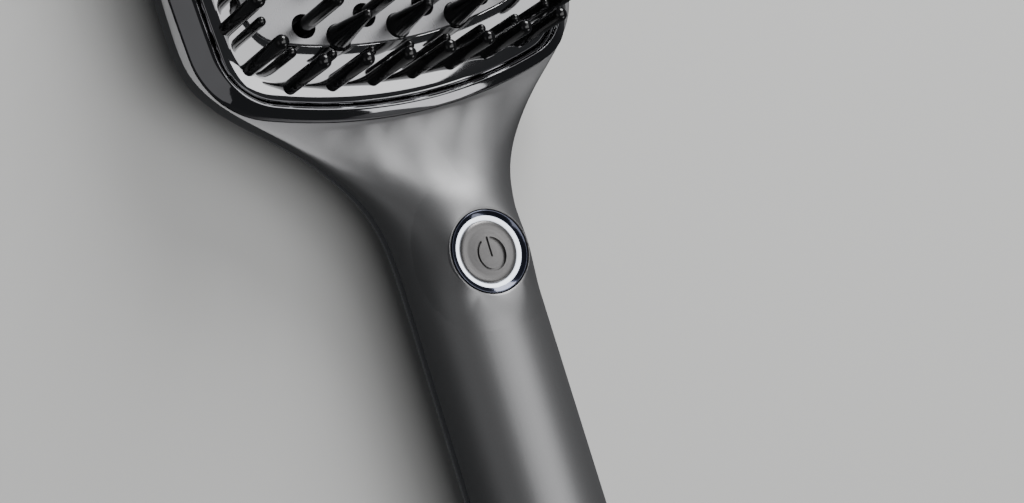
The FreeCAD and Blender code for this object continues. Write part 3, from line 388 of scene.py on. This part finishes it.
def swept(rings, closed=True):
    """Points and faces of a skin through level outlines, given as (outline, height)."""
    return skinned([[(p.x, p.y, z) for p in outline] for outline, z in rings], closed)


def between_rings(first, second, share):
    """Outline between two others."""
    return [a.lerp(b, share) for a, b in zip(first, second)]


black_chrome = Finish("black_chrome_plating", Metallic=1.0)
plating_wave = black_chrome.grain(9.0, 2.0)
plating_haze = black_chrome.grain(1.2, 4.0)
black_chrome.feed(Base_Color=black_chrome.blend(plating_wave, (0.16, 0.16, 0.168), (0.2, 0.2, 0.208)),
                  Roughness=0.03 + 0.05 * plating_haze,
                  Normal=black_chrome.dent(plating_wave, 0.01, 0.25))
lip_ring = head_ring(LIP_HALF_WIDTH - LIP_SEAM, LIP_SEAM, LIP_CORNER - LIP_SEAM)
slope_top = crest_ring(0.0)
slope_feet = []
for index in range(len(lip_ring)):
    along = lip_ring[(index + 1) % len(lip_ring)] - lip_ring[index - 1]
    endwise = abs(along.x) / along.length
    slope_feet.append(LIP_Z + END_WALL * ease((endwise - WALL_START) / WALL_BLEND))
rim_rows = [[(p.x, p.y, RIM_FOOT_Z) for p in lip_ring]]
rim_rows.append([(p.x, p.y, foot - FOOT_ROUNDING) for p, foot in zip(lip_ring, slope_feet)])
for share, rise in SLOPE_ROWS:
    outline = between_rings(lip_ring, slope_top, share)
    rim_rows.append([(p.x, p.y, foot + (CREST_Z - foot) * rise) for p, foot in zip(outline, slope_feet)])
for inset, z in CREST_ROWS:
    rim_rows.append([(p.x, p.y, z) for p in crest_ring(inset)])
piece("rim_frame", skinned(rim_rows), black_chrome, "housing", "black_chrome", "rim", 50.0)

# ---------------------------------------------------------------------------------------------
# Bristle tray: moulded frame between the rim and the heated plate, plated like the rim. Its top
# swells softly from the rim and is level where the bristles stand.
# ---------------------------------------------------------------------------------------------
PLATE_HALF_WIDTH, PLATE_END, PLATE_CORNER = 32.3, 14.6, 8.0
TRAY_INSET, TRAY_UNDERSIDE_Z = 1.35, 18.3
# The tray's rows are shares of the way from the rim to the plate, with heights.
TRAY_ROWS = ((0.0, TRAY_EDGE_Z), (0.01, 19.95), (0.04, 20.25), (0.09, 20.55), (0.15, 20.8), (0.22, 21.0),
             (0.29, 21.13), (0.36, 21.2), (0.45, 21.22), (0.7, 21.22), (0.985, 21.21), (0.995, 21.17),
             (1.0, 21.0), (1.0, 19.6), (0.18, 19.0))


def plate_ring(inset):
    """Outline of the plate's opening, or one inside it."""
    return head_ring(PLATE_HALF_WIDTH - inset, PLATE_END + inset, PLATE_CORNER - inset)


tray_edge = crest_ring(TRAY_INSET)
plate_opening = plate_ring(0.0)
tray_rings = [(tray_edge, TRAY_UNDERSIDE_Z)]
for share, z in TRAY_ROWS:
    tray_rings.append((between_rings(tray_edge, plate_opening, share), z))
tray_chrome = Finish("tray_plating", Metallic=1.0)
tray_wave = tray_chrome.grain(11.0, 2.0)
tray_chrome.feed(Base_Color=tray_chrome.blend(tray_wave, (0.29, 0.29, 0.298), (0.33, 0.33, 0.338)),
                 Roughness=0.035 + 0.03 * tray_chrome.grain(1.5, 4.0),
                 Normal=tray_chrome.dent(tray_wave, 0.015, 0.3))
piece("tray_frame", swept(tray_rings), tray_chrome, "housing", "black_chrome", "bristle_tray", 50.0)


# ---------------------------------------------------------------------------------------------
# Bristles: round pins of glossy black nylon with ball ends, pushed into the tray in a tall and
# a short row, and more tall ones through the plate's holes.
# ---------------------------------------------------------------------------------------------
def lathed(profile, spots, sides=28, laid=lambda x, y, z: (x, y, z)):
    """Points and faces of turned pieces from (radius, height) rows, one at each spot."""
    points, faces = [], []
    for x, y in spots:
        rows = []
        for radius, z in profile:
            if radius == 0:
                rows.append([len(points)])
                points.append(laid(x, y, z))
                continue
            rows.append(list(range(len(points), len(points) + sides)))
            for side in range(sides):
                turn = 2 * math.pi * side / sides
                points.append(laid(x + radius * math.cos(turn), y + radius * math.sin(turn), z))
        for low, high in zip(rows, rows[1:]):
            for side in range(sides):
                following = (side + 1) % sides
                if len(low) == 1:
                    faces.append((low[0], high[following], high[side]))
                elif len(high) == 1:
                    faces.append((low[side], low[following], high[0]))
                else:
                    faces.append((low[side], low[following], high[following], high[side]))
    return points, faces


def pins(radius, low_z, top_z, spots, sides=28):
    """Points and faces of upright pins with a ball end."""
    rows = [(0, low_z), (radius, low_z)]
    rows += [(radius, top_z - radius * SHAFT_END), (radius * BALL_EASE, top_z - radius)]
    for degrees in (15, 30, 45, 60, 75):
        turn = math.radians(degrees)
        rows.append((radius * math.cos(turn), top_z - radius + radius * math.sin(turn)))
    rows.append((0, top_z))
    return lathed(rows, spots, sides)


def spots_along(ring, count, phase):
    """Evenly spaced places along a closed outline, from the middle of its near end."""
    lengths = [0.0]
    for a, b in zip(ring, ring[1:] + ring[:1]):
        lengths.append(lengths[-1] + (b - a).length)
    spots = []
    for index in range(count):
        target = (index + phase) * lengths[-1] / count
        cell = max(i for i in range(len(ring)) if lengths[i] <= target)
        share = (target - lengths[cell]) / (lengths[cell + 1] - lengths[cell])
        spots.append(tuple(ring[cell].lerp(ring[(cell + 1) % len(ring)], share)))
    return spots


BRISTLE_COUNT, ROW_BOW = 34, 200.0
FOOT_Z, PLATE_FOOT_Z, TIP_Z, SHORT_TIP_Z = 20.7, 16.95, 39.6, 31.8
PIN_RADIUS, SHORT_PIN_RADIUS = 1.45, 0.98
SHAFT_END, BALL_EASE = 1.15, 0.985
TALL_ROW_SIDE, TALL_ROW_END, TALL_ROW_CORNER = 7.8, 7.7, 12.0
SHORT_ROW_SIDE, SHORT_ROW_END, SHORT_ROW_CORNER = 10.4, 11.0, 9.0
PITCH_ACROSS, PITCH_ALONG, PIN_SHIFT = 13.4, 12.2, 2.8
tall_row = head_ring(LIP_HALF_WIDTH - TALL_ROW_SIDE, TALL_ROW_END, TALL_ROW_CORNER, ROW_BOW)
short_row = head_ring(LIP_HALF_WIDTH - SHORT_ROW_SIDE, SHORT_ROW_END, SHORT_ROW_CORNER, ROW_BOW)
tall_spots = spots_along(tall_row, BRISTLE_COUNT, 0.0)
short_spots = spots_along(short_row, BRISTLE_COUNT, 0.5)
plate_spots = [(across * PITCH_ACROSS, HEAD_MID_Y + along * PITCH_ALONG - PIN_SHIFT)
               for along in (-2.5, -1.5, -0.5, 0.5, 1.5, 2.5) for across in (-1.5, -0.5, 0.5, 1.5)]
nylon = Finish("glossy_black_nylon", Specular_IOR_Level=0.45)
nylon_grain = nylon.grain(2.5, 2.0)
nylon.feed(Base_Color=nylon.blend(nylon_grain, (0.004, 0.004, 0.0045), (0.007, 0.007, 0.0075)),
           Roughness=0.13 + 0.03 * nylon_grain)
piece("tall_pins", pins(PIN_RADIUS, FOOT_Z, TIP_Z, tall_spots),
      nylon, "housing", "bristle_black", "tall_bristles")
piece("short_pins", pins(SHORT_PIN_RADIUS, FOOT_Z, SHORT_TIP_Z, short_spots, 20),
      nylon, "housing", "bristle_black", "short_bristles")
piece("plate_pins", pins(PIN_RADIUS, PLATE_FOOT_Z, TIP_Z, plate_spots),
      nylon, "housing", "bristle_black", "plate_bristles")

# ---------------------------------------------------------------------------------------------
# Heated plate: aluminium with a fine satin coating, held by a flange under the tray. Its upper
# edge is rounded, and it has a round clearance hole for each of the pins that pass through it.
# ---------------------------------------------------------------------------------------------
# The plate's rows are insets and heights, its holes' rows radii and heights.
PLATE_ROWS = ((-0.8, 18.5), (-0.8, 19.1), (0.1, 19.12), (0.1, 21.36), (0.14, 21.44), (0.24, 21.5))
HOLE_ROWS = ((0, 17.0), (2.25, 17.0), (2.25, 21.18), (2.34, 21.36), (2.5, 21.5), (2.55, 23.0), (0, 23.0))


def filled(rings):
    """Points and faces of a closed body through rings, with a flat face over each end."""
    points, faces = swept(rings, False)
    count = len(rings[0][0])
    faces.append(tuple(range(count)))
    faces.append(tuple(range(len(points) - count, len(points))))
    return points, faces


def carved(name, body_shape, *cutter_shapes):
    """Mesh of one shape with others cut out of it, one after another."""
    mesh = welded(raw_mesh(name, *body_shape))
    for cutter_shape in cutter_shapes:
        body = placed(name + "_body", mesh)
        cutter = placed(name + "_cutter", welded(raw_mesh(name + "_cutter", *cutter_shape)))
        cut = body.modifiers.new("cut", "BOOLEAN")
        cut.operation = "DIFFERENCE"
        cut.solver = "EXACT"
        cut.object = cutter
        bpy.context.view_layer.update()
        result = body.evaluated_get(bpy.context.evaluated_depsgraph_get())
        mesh = bpy.data.meshes.new_from_object(result)
        for made in (body, cutter):
            bpy.data.objects.remove(made)
    return mesh


plate_body = filled([(plate_ring(inset), z) for inset, z in PLATE_ROWS])
plate_holes = lathed(HOLE_ROWS, plate_spots, 32)
plate_coat = Finish("satin_plate_coat", Metallic=1.0)
along_brush = {"Vector": plate_coat.place(), "Scale": (1.0, 0.1, 1.0)}
scratch = plate_coat.grain(0.2, 2.0, plate_coat.node("ShaderNodeMapping", {}, along_brush))
coat_cloud = plate_coat.grain(16.0, 2.0)
plate_coat.feed(Base_Color=plate_coat.blend(coat_cloud, (0.27, 0.27, 0.28), (0.32, 0.32, 0.33)),
                Roughness=0.26 + 0.04 * scratch,
                Normal=plate_coat.dent(scratch, 0.001, 0.2))
settle("satin_plate", carved("satin_plate", plate_body, plate_holes),
       plate_coat, "housing", "plate_metal", "heated_plate", 30.0)

# ---------------------------------------------------------------------------------------------
# Heated teeth: tapering cones that stand on the plate, each with a small fillet at its foot and
# a rounded tip, under a glossy black ceramic coating.
# ---------------------------------------------------------------------------------------------
TOOTH_ROWS = ((0, 21.45), (2.78, 21.45), (2.6, 21.56), (2.48, 21.76), (2.4, 22.2), (2.06, 25.4),
              (1.66, 29.2), (1.26, 32.9), (1.0, 35.2), (0.9, 35.8), (0.72, 36.2), (0.42, 36.43),
              (0, 36.5))
tooth_spots = [(across * PITCH_ACROSS, HEAD_MID_Y + along * PITCH_ALONG)
               for along in range(-3, 4) for across in range(-2, 3)
               if not (abs(along) == 3 and abs(across) == 2)]
ceramic = Finish("black_ceramic_coat")
ceramic_grain = ceramic.grain(2.0, 3.0)
ceramic.feed(Base_Color=ceramic.blend(ceramic_grain, (0.007, 0.007, 0.008), (0.012, 0.012, 0.013)),
             Roughness=0.15 + 0.05 * ceramic_grain)
piece("heated_teeth", lathed(TOOTH_ROWS, tooth_spots),
      ceramic, "housing", "plate_metal", "plate_teeth", 50.0)

# ---------------------------------------------------------------------------------------------
# Button bezel: turned and plated dark blue-black ring that frames the power button, set in the
# pad with a thin rounded lip.
# ---------------------------------------------------------------------------------------------
BUTTON_SPOT = [(0.0, BUTTON_Y)]
ROUND_SIDES = 96
BEZEL_ROWS = ((6.6, 25.3), (9.2, 25.3), (9.2, 26.37), (8.3, 26.37), (8.3, 29.5), (8.26, 29.68),
              (8.18, 29.77), (8.08, 29.8), (7.98, 29.76), (7.7, 29.6), (7.34, 29.38), (7.18, 29.27),
              (7.18, 27.1), (6.6, 27.1), (6.6, 25.3))
blue_black = Finish("blue_black_plating", Metallic=0.85, Coat_Weight=0.5, Coat_Roughness=0.04)
blue_haze = blue_black.grain(1.4, 3.0)
blue_black.feed(Base_Color=blue_black.blend(blue_haze, (0.03, 0.034, 0.055), (0.045, 0.05, 0.075)),
                Roughness=0.12 + 0.04 * blue_haze)
piece("bezel_ring", lathed(BEZEL_ROWS, BUTTON_SPOT, ROUND_SIDES),
      blue_black, "housing", "bezel_dark", "button_bezel", 40.0)

# ---------------------------------------------------------------------------------------------
# Light ring: milky plastic diffuser held between the bezel and the key, with a face that slopes
# down to the key. Lamps on the board below it light it a cool white.
# ---------------------------------------------------------------------------------------------
RING_ROWS = ((6.34, 27.1), (7.12, 27.1), (7.12, 29.2), (7.04, 29.22), (6.9, 29.18), (6.5, 29.04),
             (6.38, 28.98), (6.34, 28.9), (6.34, 27.1))
glow = Finish("lit_diffuser", Roughness=0.35, Emission_Strength=1.6)
glow_share = glow.grain(5.0, 1.0)
glow.feed(Base_Color=glow.blend(glow_share, (0.8, 0.84, 0.92), (0.86, 0.89, 0.95)),
          Emission_Color=glow.blend(glow_share, (0.78, 0.86, 1.0), (0.9, 0.94, 1.0)))
piece("diffuser_ring", lathed(RING_ROWS, BUTTON_SPOT, ROUND_SIDES),
      glow, "housing", "light_diffuser", "light_ring", 50.0)

# ---------------------------------------------------------------------------------------------
# Power key: satin metallic cap, faintly dished, with a rounded edge and a power symbol sunk in
# its face. It slides in the light ring and carries a retaining flange and a stem.
# ---------------------------------------------------------------------------------------------
KEY_TOP_Z, KEY_DISH = 29.41, 0.21
KEY_ROWS = ((0, 23.55), (2.0, 23.55), (2.0, 24.25), (7.2, 24.25), (7.2, 25.15), (6.25, 25.15),
            (6.25, 28.96), (6.21, 29.05), (6.11, 29.15), (5.93, 29.26), (5.62, 29.36), (5.2, KEY_TOP_Z),
            (4.6, 29.38), (3.4, 29.28), (1.7, 29.2), (0, 29.18))
SYMBOL_HALF_WIDTH, SYMBOL_HALF_HEIGHT, SYMBOL_LINE, SYMBOL_DEPTH = 2.85, 3.2, 0.42, 0.6
SYMBOL_SWELL, SYMBOL_TUCK, SYMBOL_TILT = 0.8, 0.08, 0.25
SYMBOL_CENTRE = Vector((0.4, BUTTON_Y - 0.5))
CUT_TOP_Z = 31.0
TURNING_MARKS = 36000.0


def bar_shape(outline, low_z, high_z):
    """Points and faces of an upright bar over a flat outline."""
    count = len(outline)
    points = [(x, y, z) for z in (low_z, high_z) for x, y in outline]
    faces = [tuple(range(count)), tuple(range(count, 2 * count))]
    faces += [(i, (i + 1) % count, count + (i + 1) % count, count + i) for i in range(count)]
    return points, faces


def joined(*shapes):
    """Several shapes as one."""
    points, faces = [], []
    for more_points, more_faces in shapes:
        faces += [tuple(index + len(points) for index in face) for face in more_faces]
        points += more_points
    return points, faces


def round_stroke(line, widths):
    """Flat outline of a stroke with round ends along a line of points, with a width at each."""
    def side_points(way):
        shifted = []
        for index, point in enumerate(line):
            before = line[max(index - 1, 0)]
            after = line[min(index + 1, len(line) - 1)]
            along = (after - before).normalized()
            shifted.append(point + Vector((along.y, -along.x)) * way * widths[index] / 2)
        return shifted

    def cap_points(end, along, width):
        turned = []
        for degrees in range(-60, 61, 30):
            turned.append(end + Matrix.Rotation(math.radians(degrees), 2) @ (along * width / 2))
        return turned

    right, left = side_points(1), side_points(-1)
    end_along = (line[-1] - line[-2]).normalized()
    start_along = (line[0] - line[1]).normalized()
    outline = right + cap_points(line[-1], end_along, widths[-1])
    outline += list(reversed(left)) + cap_points(line[0], start_along, widths[0])
    return [(p.x, p.y) for p in outline]


symbol_arc, symbol_widths = [], []
for degrees in range(122, 435, 8):
    turn = math.radians(degrees)
    rightward = max(0.0, math.cos(turn + SYMBOL_TILT))
    reach = Vector((SYMBOL_HALF_WIDTH * math.cos(turn), SYMBOL_HALF_HEIGHT * math.sin(turn)))
    symbol_arc.append(SYMBOL_CENTRE + reach * (1 - SYMBOL_TUCK * rightward))
    symbol_widths.append(SYMBOL_LINE + SYMBOL_SWELL * rightward)
symbol_bar = [SYMBOL_CENTRE + Vector((0, reach)) for reach in (-0.4, 1.5, 3.3)]
symbol_floor = KEY_TOP_Z - KEY_DISH - SYMBOL_DEPTH
symbol = joined(bar_shape(round_stroke(symbol_arc, symbol_widths), symbol_floor, CUT_TOP_Z),
                bar_shape(round_stroke(symbol_bar, [SYMBOL_LINE] * 3), symbol_floor, CUT_TOP_Z))
key_finish = Finish("satin_key", Metallic=0.85)
key_centre = key_finish.node("ShaderNodeVectorMath", {"operation": "SUBTRACT"},
                             {0: key_finish.place(), 1: (0.0, BUTTON_Y * MM, 0.0)})
key_reach = key_finish.node("ShaderNodeVectorMath", {"operation": "LENGTH"}, {0: key_centre}, "Value")
turning = key_finish.node("ShaderNodeMath", {"operation": "SINE"}, {0: key_reach * TURNING_MARKS})
key_grain = key_finish.grain(0.3, 2.0)
key_finish.feed(Base_Color=key_finish.blend(key_grain, (0.13, 0.127, 0.127), (0.165, 0.162, 0.162)),
                Roughness=0.36 + 0.03 * turning,
                Normal=key_finish.dent(turning + key_grain, 0.003, 0.35))
settle("power_key", carved("power_key", lathed(KEY_ROWS, BUTTON_SPOT, ROUND_SIDES), symbol),
       key_finish, "power_button", "button_grey", "button_cap", 32.0)

# ---------------------------------------------------------------------------------------------
# Water tank: smoky clear body behind a gloss black cover that is level with the housing's back,
# with fine ribs for the finger in its notch.
# ---------------------------------------------------------------------------------------------
COVER_FACE_Z, NOTCH_DEPTH, NOTCH_RADIUS = 0.2, 1.4, 5.0
RIB_COUNT, RIB_START, RIB_PITCH, RIB_REACH, RIB_WIDTH = 4, 0.7, 0.75, 5.6, 0.34
RIB_PROUD, RIB_ROOT, RIB_LOWEST_Z = 0.18, 0.15, 0.22


def cross_line(y, reach):
    """Straight line across the brush, through three points."""
    return [Vector((x, y)) for x in (-reach, 0, reach)]


smoky_clear = Finish("smoky_clear_moulding", Transmission_Weight=0.85, IOR=1.5)
clear_grain = smoky_clear.grain(6.0, 2.0)
smoky_clear.feed(Base_Color=smoky_clear.blend(clear_grain, (0.32, 0.35, 0.39), (0.38, 0.41, 0.45)),
                 Roughness=0.04 + 0.05 * clear_grain)
dress("tank_shell", smoky_clear)
dress("tank_cover", gloss_black)
notch_near_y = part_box("tank_cover")[0].y / MM
rib_shapes = []
for index in range(RIB_COUNT):
    rib_y = notch_near_y + RIB_START + RIB_PITCH * index
    notch_rise = math.sqrt(NOTCH_RADIUS ** 2 - (rib_y - notch_near_y) ** 2)
    notch_z = COVER_FACE_Z + NOTCH_DEPTH - NOTCH_RADIUS + notch_rise
    rib_outline = round_stroke(cross_line(rib_y, RIB_REACH), [RIB_WIDTH] * 3)
    rib_shapes.append(bar_shape(rib_outline, max(notch_z - RIB_PROUD, RIB_LOWEST_Z), notch_z + RIB_ROOT))
piece("finger_ribs", joined(*rib_shapes), gloss_black, "water_tank", "gloss_black")

# ---------------------------------------------------------------------------------------------
# Filler plug: soft rubber stopper sunk in the tank's cover, its stem a tight fit in the filler
# hole. A raised bar across its dished face is there to pull it by.
# ---------------------------------------------------------------------------------------------
FILLER_Y = 96.85
PULL_REACH, PULL_WIDTH, PULL_LOW_Z, PULL_HIGH_Z = 3.4, 1.5, 0.4, 0.8
PLUG_ROWS = ((0, 0.62), (4.6, 0.62), (5.2, 0.55), (5.9, 0.42), (6.12, 0.56), (6.2, 0.8), (6.2, 1.6),
             (3.52, 1.6), (3.52, 3.5), (3.3, 3.8), (0, 3.8))
pull_outline = round_stroke(cross_line(FILLER_Y, PULL_REACH), [PULL_WIDTH] * 3)
piece("filler_stopper", joined(lathed(PLUG_ROWS, [(0.0, FILLER_Y)], 64),
                               bar_shape(pull_outline, PULL_LOW_Z, PULL_HIGH_Z)),
      soft_rubber, "filler_plug", "soft_rubber", "tank_plug")

# ---------------------------------------------------------------------------------------------
# Screws: pan-head steel screws with a cross recess, driven from the back into the head's and
# the handle's posts.
# ---------------------------------------------------------------------------------------------
HEAD_POST_X, HEAD_POSTS_Y, HANDLE_POSTS_Y = 35.65, (55.35, 109.35), (-59.15, -103.15)
HEAD_SEAT_Z, HEAD_TIP_Z, HANDLE_SEAT_Z, HANDLE_TIP_Z = 5.8, 16.4, 7.6, 23.2
PAN_HEIGHT, THREAD_RADIUS = 1.8, 1.36
RECESS_REACH, RECESS_HALF, RECESS_DEPTH = 1.35, 0.32, 1.0


def recess_slots(spots, across, along, pan_z):
    """Points and faces of one slot at each spot, cut RECESS_DEPTH into its screw."""
    slots = []
    for x, y in spots:
        outline = [(x - across, y - along), (x + across, y - along),
                   (x + across, y + along), (x - across, y + along)]
        slots.append(bar_shape(outline, pan_z - RECESS_DEPTH, pan_z + RECESS_DEPTH))
    return joined(*slots)


screw_steel = Finish("plated_steel", Metallic=1.0)
steel_grain = screw_steel.grain(0.4, 3.0)
screw_steel.feed(Base_Color=screw_steel.blend(steel_grain, (0.42, 0.42, 0.43), (0.55, 0.55, 0.56)),
                 Roughness=0.24 + 0.15 * steel_grain)
head_spots = [(side * HEAD_POST_X, y) for side in (-1, 1) for y in HEAD_POSTS_Y]
handle_spots = [(0.0, y) for y in HANDLE_POSTS_Y]
screw_sets = ((head_spots, HEAD_SEAT_Z, HEAD_TIP_Z), (handle_spots, HANDLE_SEAT_Z, HANDLE_TIP_Z))
for number, (spots, seat_z, tip_z) in enumerate(screw_sets, 1):
    pan_z = seat_z - PAN_HEIGHT
    screw_rows = [(0, pan_z), (1.2, pan_z + 0.04), (1.9, pan_z + 0.22), (2.35, pan_z + 0.6),
                  (2.5, pan_z + 1.1), (2.5, seat_z), (THREAD_RADIUS, seat_z),
                  (THREAD_RADIUS, tip_z - 0.8), (0.6, tip_z), (0, tip_z)]
    screw_mesh = carved("screw_set", lathed(screw_rows, spots, 32),
                        recess_slots(spots, RECESS_REACH, RECESS_HALF, pan_z),
                        recess_slots(spots, RECESS_HALF, RECESS_REACH, pan_z))
    settle("cross_screws_%d" % number, screw_mesh, screw_steel, "housing", "steel", "screws", 30.0)

# ---------------------------------------------------------------------------------------------
# End cap: gloss moulding that closes the handle, rounded over its outer edge, with a shallow
# dished face round the cord outlet.
# ---------------------------------------------------------------------------------------------
AXIS_SPOT = [(0.0, 0.0)]
CAP_ROWS = ((4.65, -124.75), (6.9, -124.75), (7.6, -124.95), (8.6, -125.15), (11.6, -125.1),
            (12.5, -124.9), (13.05, -124.45), (13.3, -123.8), (13.35, -123.2), (13.35, -122.15),
            (11.1, -122.15), (11.1, -117.15), (9.5, -117.15), (9.5, -120.65), (4.65, -120.65),
            (4.65, -124.75))


def laid_along(x, y, z):
    """Lay an upright turned piece along the handle's axis."""
    return (x, z, AXIS_Z - y)


dark_gloss = Finish("dark_gloss_moulding", Coat_Weight=0.4, Coat_Roughness=0.05)
gloss_haze = dark_gloss.grain(3.0, 3.0)
dark_gloss.feed(Base_Color=dark_gloss.blend(gloss_haze, (0.012, 0.013, 0.017), (0.02, 0.021, 0.026)),
                Roughness=0.12 + 0.1 * gloss_haze)
piece("handle_cap", lathed(CAP_ROWS, AXIS_SPOT, ROUND_SIDES, laid_along),
      dark_gloss, "housing", "bezel_dark", "end_cap", 40.0)

# ---------------------------------------------------------------------------------------------
# Cord outlet: soft turning gland held behind the end cap, with a collar, a tapering nose cut by
# grooves that let it bend, and an open bore for the cord.
# ---------------------------------------------------------------------------------------------
GROOVE_COUNT, GROOVE_START, GROOVE_PITCH = 4, -128.0, 2.15
NOSE_RADIUS, NOSE_TAPER = 6.15, 0.27
COLLAR_ROWS = [(2.9, -119.1), (6.4, -119.1), (6.4, -120.5), (4.6, -120.5), (4.6, -125.3), (7.1, -125.3),
               (7.34, -125.6), (7.34, -126.9), (7.1, -127.5), (6.6, -127.8)]
# Each groove's rows are depths in the nose and distances from its start.
GROOVE_ROWS = ((0.0, 0.0), (0.08, 1.25), (0.35, 1.42), (0.95, 1.5), (0.98, 1.95), (0.4, 2.05))
TIP_ROWS = [(5.0, -136.7), (4.8, -137.0), (4.4, -137.15), (3.2, -137.15), (2.9, -136.9), (2.9, -119.1)]
nose_rows = []
for index in range(GROOVE_COUNT):
    start = GROOVE_START - GROOVE_PITCH * index
    radius = NOSE_RADIUS - NOSE_TAPER * index
    nose_rows += [(radius - depth, start - past) for depth, past in GROOVE_ROWS]
piece("bend_relief", lathed(COLLAR_ROWS + nose_rows + TIP_ROWS, AXIS_SPOT, 72, laid_along),
      soft_rubber, "cord_swivel", "soft_rubber", "cord_gland", 40.0)

# ---------------------------------------------------------------------------------------------
# Floor and studio: a plain pale floor under the brush, which lies on its back, with five
# softboxes over and beside it, a faint grey surround, and the camera over the handle's left side.
# ---------------------------------------------------------------------------------------------
FLOOR_REACH, FLOOR_Z = 4000.0, -0.3
LAMP_TARGET, LAMP_DISTANCE, STEEP = Vector((0.0, 0.03, 0.02)), 0.8, 0.9
floor_corners = [(-FLOOR_REACH, -FLOOR_REACH, FLOOR_Z), (FLOOR_REACH, -FLOOR_REACH, FLOOR_Z),
                 (FLOOR_REACH, FLOOR_REACH, FLOOR_Z), (-FLOOR_REACH, FLOOR_REACH, FLOOR_Z)]
floor_mesh = raw_mesh("floor", floor_corners, [(0, 1, 2, 3)])
floor = placed("floor", floor_mesh)
floor_finish = Finish("pale_floor", Roughness=0.75, Base_Color=(0.62, 0.62, 0.61, 1))
floor_mesh.materials.append(floor_finish.material)
floor.visible_glossy = False


def stance(across, upward, outward, spot):
    """Placing in metres from three directions at right angles and a spot."""
    placing = Matrix((across, upward, outward)).transposed().to_4x4()
    placing.translation = spot
    return placing


def softbox(name, towards, size, glare):
    """Rectangular soft light that faces the brush, one side level, with its glare per square metre."""
    data = bpy.data.lights.new(name, "AREA")
    data.shape = "RECTANGLE"
    data.size, data.size_y = size
    data.energy = glare * math.pi * size[0] * size[1]
    outward = Vector(towards).normalized()
    level = Vector((1, 0, 0)) if outward.z > STEEP else Vector((-outward.y, outward.x, 0)).normalized()
    spot = LAMP_TARGET + outward * LAMP_DISTANCE
    placed(name, data).matrix_world = stance(level, outward.cross(level), outward, spot)


softbox("overhead_box", (0.1, -0.25, 0.96), (0.84, 0.46), 3.1)
softbox("head_box", (0.36, 0.2, 0.91), (0.5, 0.3), 2.0)
softbox("far_box", (0.43, 0.78, 0.47), (0.38, 0.46), 13.5)
softbox("near_strip", (0.5, -0.8, 0.34), (0.28, 0.26), 3.6)
softbox("left_fill", (-0.95, -0.1, 0.3), (0.6, 0.4), 0.4)

world = bpy.data.worlds.new("surround")
world.use_nodes = True
surround = next(node for node in world.node_tree.nodes if node.type == "BACKGROUND")
surround.inputs["Color"].default_value = (0.5, 0.52, 0.55, 1)
surround.inputs["Strength"].default_value = 0.12
bpy.context.scene.world = world

camera_data = bpy.data.cameras.new("camera")
camera_data.sensor_width = 36.0
camera_data.lens = 63.28
camera_data.clip_start = 0.01
camera_data.clip_end = 20.0
camera = placed("camera", camera_data)
rightwards = Vector((0.8320, -0.2977, 0.4681)).normalized()
upwards = Vector((0.2296, 0.9529, 0.1980)).normalized()
backwards = rightwards.cross(upwards).normalized()
upwards = backwards.cross(rightwards)
camera_spot = Vector((-172.5, -24.45, 331.8)) * MM
camera.matrix_world = stance(rightwards, upwards, backwards, camera_spot)
bpy.context.scene.camera = camera
